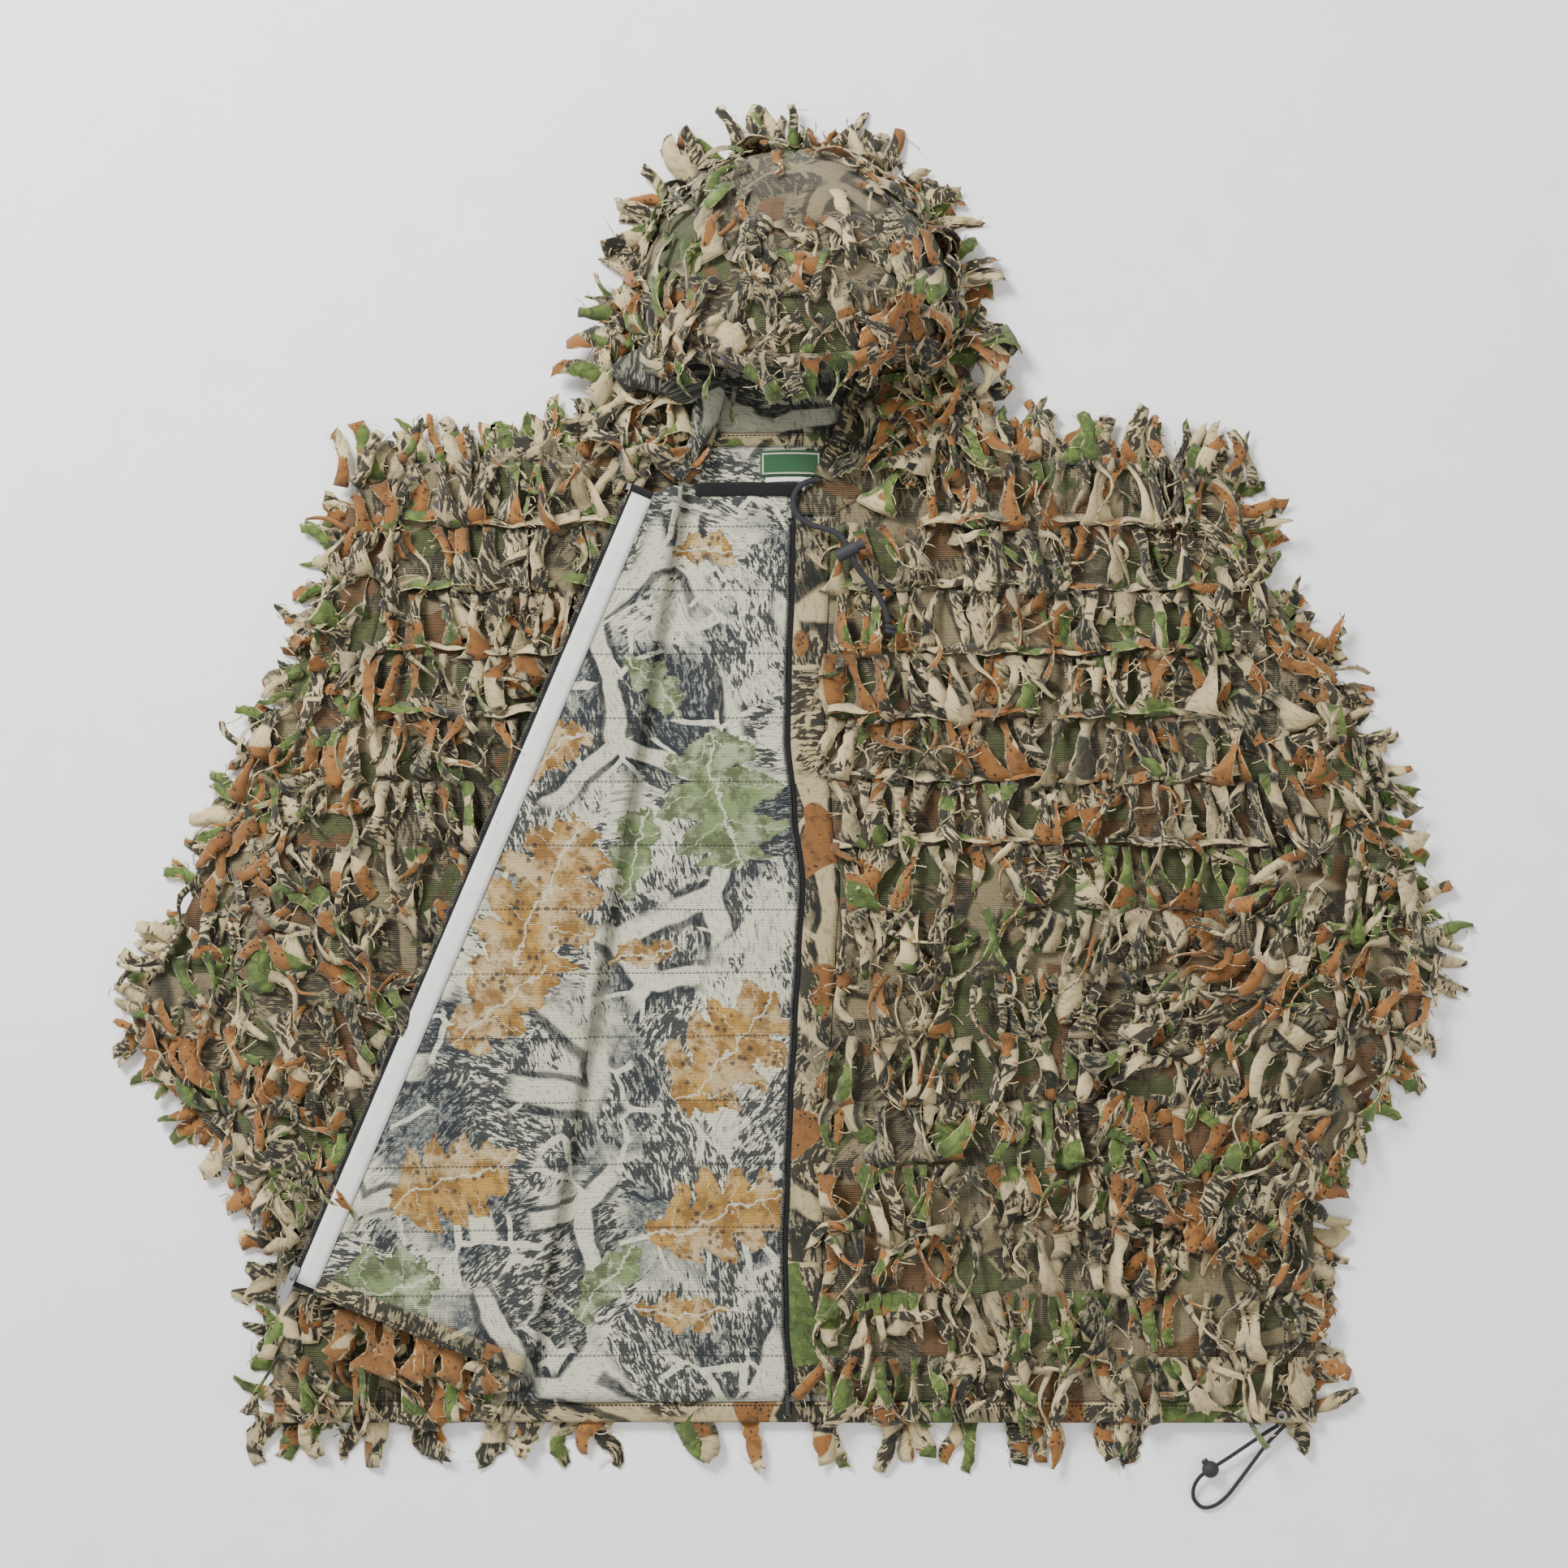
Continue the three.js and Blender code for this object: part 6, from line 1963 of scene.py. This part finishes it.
class JACKET_OT_hood(PieceOperator, bpy.types.Operator):
    """Makes the hood: its crown, brim casing, lining, cheeks and strips"""
    bl_idname = "jacket.hood"
    bl_label = "Hood"

    def make(self):
        crown, crown_area = self.crown()
        casing = self.casing()
        lining, lining_area = self.lining()
        under = self.under_strips()
        strips = self.strips()
        cheeks = self.cheeks()
        self.rolled_edge(lining)

    def crown(self):
        around, down = 64, 18
        rows = []
        cloth = []
        for i in range(around + 1):
            turn = math.tau * i / around
            end = ground_fall(turn)
            row = []
            for k in range(down + 1):
                fall = end * k / down
                dent = 1.4 * math.sin(turn * 9 + fall * 8) * math.sin(math.pi * k / down)
                seam = -1.6 * math.exp(-((turn - math.pi / 2) / 0.05) ** 2) * math.sin(math.pi * k / down)
                spot, out = on_crown(turn, fall, dent - 0.75 + seam)
                row.append((spot.x, spot.y, max(spot.z, 8.6)))
                cloth.append(((spot.x + spot.z * 0.3) * MM, (spot.y - spot.z * 0.6) * MM))
            rows.append(row)
        obj = grid_piece("hood_crown_cloth", rows, [outer_cloth(), shaded_lining()], 0, cloth=cloth)
        only(obj)
        bpy.ops.object.mode_set(mode="EDIT")
        bpy.ops.mesh.select_all(action="SELECT")
        bpy.ops.mesh.remove_doubles(threshold=0.0001)
        bpy.ops.mesh.normals_make_consistent(inside=False)
        bpy.ops.object.mode_set(mode="OBJECT")
        centre = place(0, HOOD_Y, 30)
        face = obj.data.polygons[len(obj.data.polygons) // 2]
        if face.normal.dot(face.center - centre) < 0:
            obj.data.flip_normals()
        thicken(obj, sizes().cloth, True)
        return settle(obj, "root", "camouflage_cloth", ["hood_left_panel",
                                                        "hood_right_panel"]), surface_area(rows)

    def casing(self):
        """The rolled brim with its cord channel: up one front edge, over the face and down the other."""
        path = [Vector((x, y, 12.2)) for x, y in ((20, 222), (34, 252), (50, 290), (80, 311), (102, 326))]
        steps = 26
        arc = []
        for i in range(steps + 1):
            turn = mix(0.10, math.pi - 0.10, i / steps)
            arc.append(on_crown(turn, 0.985, 0.5)[0])
        path += arc
        path += [Vector((x, y, 12.2)) for x, y in ((-102, 326), (-80, 311), (-60, 288), (-70, 242),
                                                   (-84, 222))]
        smooth = []
        for i in range(len(path) - 1):
            p0, p1, p2, p3 = (path[max(0, min(len(path) - 1, k))] for k in (i - 1, i, i + 1, i + 2))
            for s in range(3):
                t = s / 3
                smooth.append(0.5 * (2 * p1 + (p2 - p0) * t + (2 * p0 - 5 * p1 + 4 * p2 - p3) * t * t
                                     + (3 * p1 - p0 - 3 * p2 + p3) * t ** 3))
        smooth.append(path[-1])
        centre = Vector((0, 352, 5))
        around = 12
        points, faces, cloth, band = [], [], [], []
        run = 0.0
        for i, spot in enumerate(smooth):
            if i:
                run += (spot - smooth[i - 1]).length
            ahead = (smooth[min(i + 1, len(smooth) - 1)] - smooth[max(i - 1, 0)]).normalized()
            out = (spot - centre)
            flatness = soft_step(spot.z, 14, 30)
            out = (Vector((0, 0, 1)) * (1 - flatness) + out.normalized() * flatness).normalized()
            wide = ahead.cross(out).normalized()
            out = wide.cross(ahead)
            swell = 1 + 0.12 * math.sin(run * 0.14) + 0.08 * math.sin(run * 0.41)
            for k in range(around):
                angle = math.tau * k / around
                points.append(tuple(spot + wide * (7.2 * math.cos(angle))
                                    + out * (2.6 * swell * math.sin(angle))))
                cloth.append((7.2 * angle * MM, run * MM))
                band.append((run * MM, 0.5 + 0.5 * math.cos(angle)))
        for i in range(len(smooth) - 1):
            for k in range(around):
                a, b = i * around + k, i * around + (k + 1) % around
                faces.append((a, a + around, b + around, b))
        faces.append(tuple(range(around)))
        faces.append(tuple(reversed(range((len(smooth) - 1) * around, len(smooth) * around))))
        obj = mesh_piece("hood_brim_casing", points, faces, [casing_cloth()], cloth, band)
        only(obj)
        bpy.ops.object.mode_set(mode="EDIT")
        bpy.ops.mesh.select_all(action="SELECT")
        bpy.ops.mesh.normals_make_consistent(inside=False)
        bpy.ops.object.mode_set(mode="OBJECT")
        return settle(obj, "root", "camouflage_cloth", ["hood_left_casing", "hood_right_casing"])

    def lining(self):
        outline = [(100, 249.3)]
        for i in range(25):
            angle = mix(-0.3, math.pi + 0.3, i / 24)
            outline.append(((HOOD_HALF_WIDTH - 3) * math.cos(angle),
                            HOOD_Y + (HOOD_HALF_LENGTH - 3) * math.sin(angle)))
        outline.append((-100, 249.3))

        def height(x, y):
            return 7.0 + 1.5 * (1 + wrinkle(x * 1.6, y * 1.6)) * soft_step(60 - abs(x), 0,
                                                                           25) * soft_step(y, 252, 268)
        obj = cloth_patch("hood_lining_cloth", outline, 9, height, [shaded_lining(), outer_cloth()],
                          sizes().cloth, True)
        return settle(obj, "root", "pale_lining", ["hood_back_panel"]), outline_area(outline)

    def cheeks(self):
        """The sides of the hood that lie open on the neck, each a soft sheet from the casing to the crown."""
        made = []
        for word, side, edge, seam in (
            ("left", 1, [(98, 322), (50, 290), (34, 252), (20, 222)],
             [(0, 208), (-2, 195), (26, 195), (132, 250)]),
            ("right", -1, [(-98, 322), (-56, 288), (-70, 242), (-84, 222)], [(-88, 218), (-132, 251)]),
        ):
            outline = [*edge, *seam, (128 * side, 300), (116 * side, 350), (104 * side, 348)]

            def height(x, y):
                return 9.0 + 2.2 * soft_step(wrinkle(x * 1.4, y * 1.4), -1, 1)
            obj = cloth_patch(f"hood_{word}_cheek_cloth", outline, 10, height, [outer_cloth()],
                              sizes().cloth)
            made.append(settle(obj, "root", "camouflage_cloth"))
        return made

    def rolled_edge(self, lining):
        """The wearer's right side of the hood turned back on itself, with its lining outwards."""
        line = bezier((-138, 300), (-96, 340), (-52, 290), 12) + bezier((-52, 290), (-52, 262), (-84, 218),
                                                                        12)[1:]
        rows = []
        cloth = []
        for i, (x, y) in enumerate(line):
            t = i / (len(line) - 1)
            near = line[min(i + 1, len(line) - 1)]
            back = line[max(i - 1, 0)]
            ahead = Vector((near[0] - back[0], near[1] - back[1])).normalized()
            inward = Vector((ahead.y, -ahead.x))
            size = mix(19, 6, soft_step(t, 0.15, 0.95)) * mix(0.55, 1, soft_step(t, 0, 0.22))
            size *= 1 + 0.1 * math.sin(t * 19)
            row = []
            for k in range(13):
                angle = mix(-0.75, 3.5, k / 12)
                out = size * math.cos(angle)
                row.append((x + inward.x * (size - out), y + inward.y * (size - out),
                            11.5 + size * 0.62 + size * 0.75 * math.sin(angle)))
                cloth.append((x * MM + k * 0.004, y * MM - k * 0.003))
            rows.append(row)
        obj = grid_piece("hood_rolled_edge", rows, [shaded_lining(), outer_cloth()], sizes().cloth, True,
                         cloth)
        settle(obj, "root", "pale_lining")
        surface_area(rows)

    def under_strips(self):
        strips = Strips("hood_under_strips", 71)
        rng = strips.rng
        for i in range(64):
            angle = mix(-0.45, math.pi + 0.45, (i + rng.random()) / 64)
            spot = Vector((HOOD_HALF_WIDTH * math.cos(angle), HOOD_Y + HOOD_HALF_LENGTH * math.sin(angle)))
            out = math.atan2(HOOD_HALF_WIDTH * math.sin(angle), HOOD_HALF_LENGTH * math.cos(angle))
            inward = Vector((math.cos(out), math.sin(out))) * -8
            to_plan = laid(spot + inward, out + rng.uniform(-0.6, 0.6), lambda x, y: 0.3)
            loose(strips, to_plan, rng.uniform(28, 54), rng.uniform(10, 20), rng.uniform(3, 14),
                  (rng.uniform(0, 2), rng.uniform(0, 2)), 0.5)
        return strips.finish(["hood_under_leaf_rows"])

    def strips(self):
        made = []
        for word, side, seed in (("left", 1, 81), ("right", -1, 91)):
            strips = Strips(f"hood_{word}_strips", seed)
            rng = strips.rng
            rows = 8
            for row in range(rows):
                fall = (row + 0.6) / rows
                girth = 2 * math.pi * 105 * math.sin(fall * BRIM_ANGLE)
                count = max(int(girth / 12), 5)
                for i in range(count):
                    turn = math.tau * (i + rng.uniform(-0.3, 0.3)) / count
                    if math.cos(turn) * side < 0 or fall > ground_fall(turn) + 0.02:
                        continue
                    spot, out = on_crown(turn, fall)
                    if abs(spot.x) < 26 and 418 < spot.y < 450:
                        continue
                    heading = rng.uniform(-0.9, 0.9)
                    to_plan = crown_map(turn, fall, heading)
                    cut = (turn * 0.11 + row * 0.4, row * 0.233 + seed)
                    width = rng.uniform(9, 19)
                    kind = rng.random()
                    if kind < 0.3:
                        toothed(strips, to_plan, rng.uniform(28, 40), width, rng.uniform(5, 11), cut)
                    elif kind < 0.72:
                        loose(strips, to_plan, rng.uniform(26, 46), width * 0.9, rng.uniform(7, 16), cut)
                    elif kind < 0.9:
                        thin(strips, to_plan, rng.uniform(30, 50), width * 0.7, 10, cut)
                    else:
                        flat_leaf(strips, to_plan, rng.uniform(26, 38), width * 1.3, cut)
            self.cheek_strips(strips, side)
            made.append(strips.finish([f"hood_{word}_leaf_rows"]))
        return made

    def cheek_strips(self, strips, side):
        rng = strips.rng
        for i in range(74):
            t = rng.random()
            if side > 0:
                inner = along_line([(36, 222), (46, 252), (62, 290), (104, 318)], t)
            else:
                inner = along_line([(-96, 226), (-84, 244), (-72, 286), (-104, 318)], t)
            outer = along_line([(132 * side, 236), (140 * side, 300), (134 * side, 356)], t)
            root = inner.lerp(outer, rng.random() ** 0.8)
            if side < 0 and root.x > -118 and root.y > 262:
                continue
            to_plan = laid(root, rng.uniform(0, math.tau), lambda x, y: 12)
            cut = (rng.uniform(0, 0.5) + side, rng.uniform(0, 0.5))
            make = rng.choice((loose, loose, thin, toothed))
            make(strips, to_plan, rng.uniform(26, 48), rng.uniform(10, 20), rng.uniform(6, 15), cut)


class JACKET_OT_neck(PieceOperator, bpy.types.Operator):
    """Makes the neck binding, the plain label, a black band below it and the care label's edge"""
    bl_idname = "jacket.neck"
    bl_label = "Neck"

    def make(self):
        seam = NECK_SIDE[1]
        binding = self.strip("neck_binding_band", (-62, 26, seam - 4, seam + 5), 9.3, 1.2, band_cloth(),
                             "camouflage_cloth", "neck_binding", 0.9)
        label = self.strip("neck_label_cloth", (-26, 19, seam - 26.5, seam - 7.5), 10.0, 0.6, label_weave(),
                           "green_label",
                   "neck_label", 0.6)
        # A flat black band across the back below the label.
        tape = self.strip("neck_tape_webbing", (-74, 4, seam - 41, seam - 31), 9.0, 0.8, black_webbing(),
                          "black_tape",
                   "neck_tape", 0.4)
        care = self.strip("care_label_edge", (-22, 14, seam - 30.5, seam - 27), 9.3, 0.5, white_webbing(),
                          "white_tape",
                   "care_label", 0.2)

    def strip(self, name, box, z, thickness, look, slot, replaced, bow):
        x0, x1, y0, y1 = box
        rows = []
        band = []
        for j in range(6):
            s = j / 5
            row = []
            for i in range(25):
                t = i / 24
                rise = bow * math.sin(math.pi * s) + 0.4 * math.sin(t * 9 + 1) * bow
                row.append((mix(x0, x1, t), mix(y0, y1, s) + 0.8 * math.sin(math.pi * t), z + rise))
                band.append((t, s) if slot == "green_label" else (mix(x0, x1, t) * MM, s))
            rows.append(row)
        obj = grid_piece(name, rows, [look], thickness * MM, band=band)
        return settle(obj, "root", slot, [replaced])


class JACKET_OT_fittings(PieceOperator, bpy.types.Operator):
    """Gives the moulded and metal fittings their finishes"""
    bl_idname = "jacket.fittings"
    bl_label = "Fittings"

    def make(self):
        looks = {
            dull_metal: ("zip_slider", "zip_pull_tab", "right_zip_box", "left_zip_top_stop",
                         "right_zip_top_stop",
                         "hood_left_eyelet", "hood_right_eyelet", "hem_eyelet"),
            black_plastic: ("hood_lock_barrel", "hood_lock_button", "hem_toggle_ball", "hem_toggle_button",
                            "left_zip_pin"),
            spring_wire: ("hood_lock_spring", "hem_toggle_spring"),
        }
        for look, names in looks.items():
            for name in names:
                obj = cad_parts[name]
                if not obj.material_slots:
                    obj.data.materials.append(None)
                for held in obj.material_slots:
                    held.material = look()


# name, place in metres, size in metres, power in watts
LIGHTS = (
    ("key_light", (-1.3, 1.7, 1.9), 0.9, 135),
    ("fill_light", (1.6, -0.9, 2.4), 2.2, 24),
)
SKY_STRENGTH = 0.75
FLOOR_SIZE = 12


class JACKET_OT_stage(PieceOperator, bpy.types.Operator):
    """Makes the pale floor and the soft studio light"""
    bl_idname = "jacket.stage"
    bl_label = "Stage"

    def make(self):
        bpy.ops.mesh.primitive_plane_add(size=FLOOR_SIZE, location=(0, 0, -0.0005))
        floor = bpy.context.object
        floor.name = "floor"
        floor.data.materials.append(studio_floor())
        world = bpy.data.worlds.new("studio") if not bpy.context.scene.world else bpy.context.scene.world
        bpy.context.scene.world = world
        world.use_nodes = True
        background = world.node_tree.nodes["Background"]
        background.inputs["Color"].default_value = (1, 1, 1, 1)
        background.inputs["Strength"].default_value = SKY_STRENGTH
        for name, spot, size, power in LIGHTS:
            data = bpy.data.lights.new(name, "AREA")
            data.size = size
            data.energy = power
            light = bpy.data.objects.new(name, data)
            light.location = spot
            light.rotation_euler = (Vector((0, 0, 0)) - Vector(spot)).to_track_quat("-Z", "Y").to_euler()
            bpy.context.collection.objects.link(light)


class JACKET_PT_panel(bpy.types.Panel):
    """Lists the jacket's pieces in the sidebar"""
    bl_label = "Leafy jacket"
    bl_idname = "JACKET_PT_panel"
    bl_space_type = "VIEW_3D"
    bl_region_type = "UI"
    bl_category = "Jacket"

    def draw(self, context):
        for group in (context.scene.jacket_sizes, context.scene.jacket_colours):
            for name in group.__annotations__:
                self.layout.prop(group, name)
        for operator in OPERATORS:
            self.layout.operator(operator.bl_idname)


OPERATORS = (
    JACKET_OT_camera, JACKET_OT_hood_cord, JACKET_OT_hem_cord, JACKET_OT_back, JACKET_OT_left_front,
    JACKET_OT_right_front, JACKET_OT_flap, JACKET_OT_left_sleeve, JACKET_OT_right_sleeve, JACKET_OT_hood,
    JACKET_OT_neck, JACKET_OT_fittings, JACKET_OT_stage,
)
CLASSES = (JacketSizes, JacketColours, *OPERATORS, JACKET_PT_panel)


def register():
    for item in CLASSES:
        bpy.utils.register_class(item)
    bpy.types.Scene.jacket_sizes = PointerProperty(type=JacketSizes)
    bpy.types.Scene.jacket_colours = PointerProperty(type=JacketColours)


def unregister():
    del bpy.types.Scene.jacket_colours
    del bpy.types.Scene.jacket_sizes
    for item in reversed(CLASSES):
        bpy.utils.unregister_class(item)


def main():
    register()
    bpy.ops.object.select_all(action="DESELECT")
    for operator in OPERATORS:
        group, name = operator.bl_idname.split(".")
        getattr(getattr(bpy.ops, group), name)()


if __name__ == "__main__":
    main()
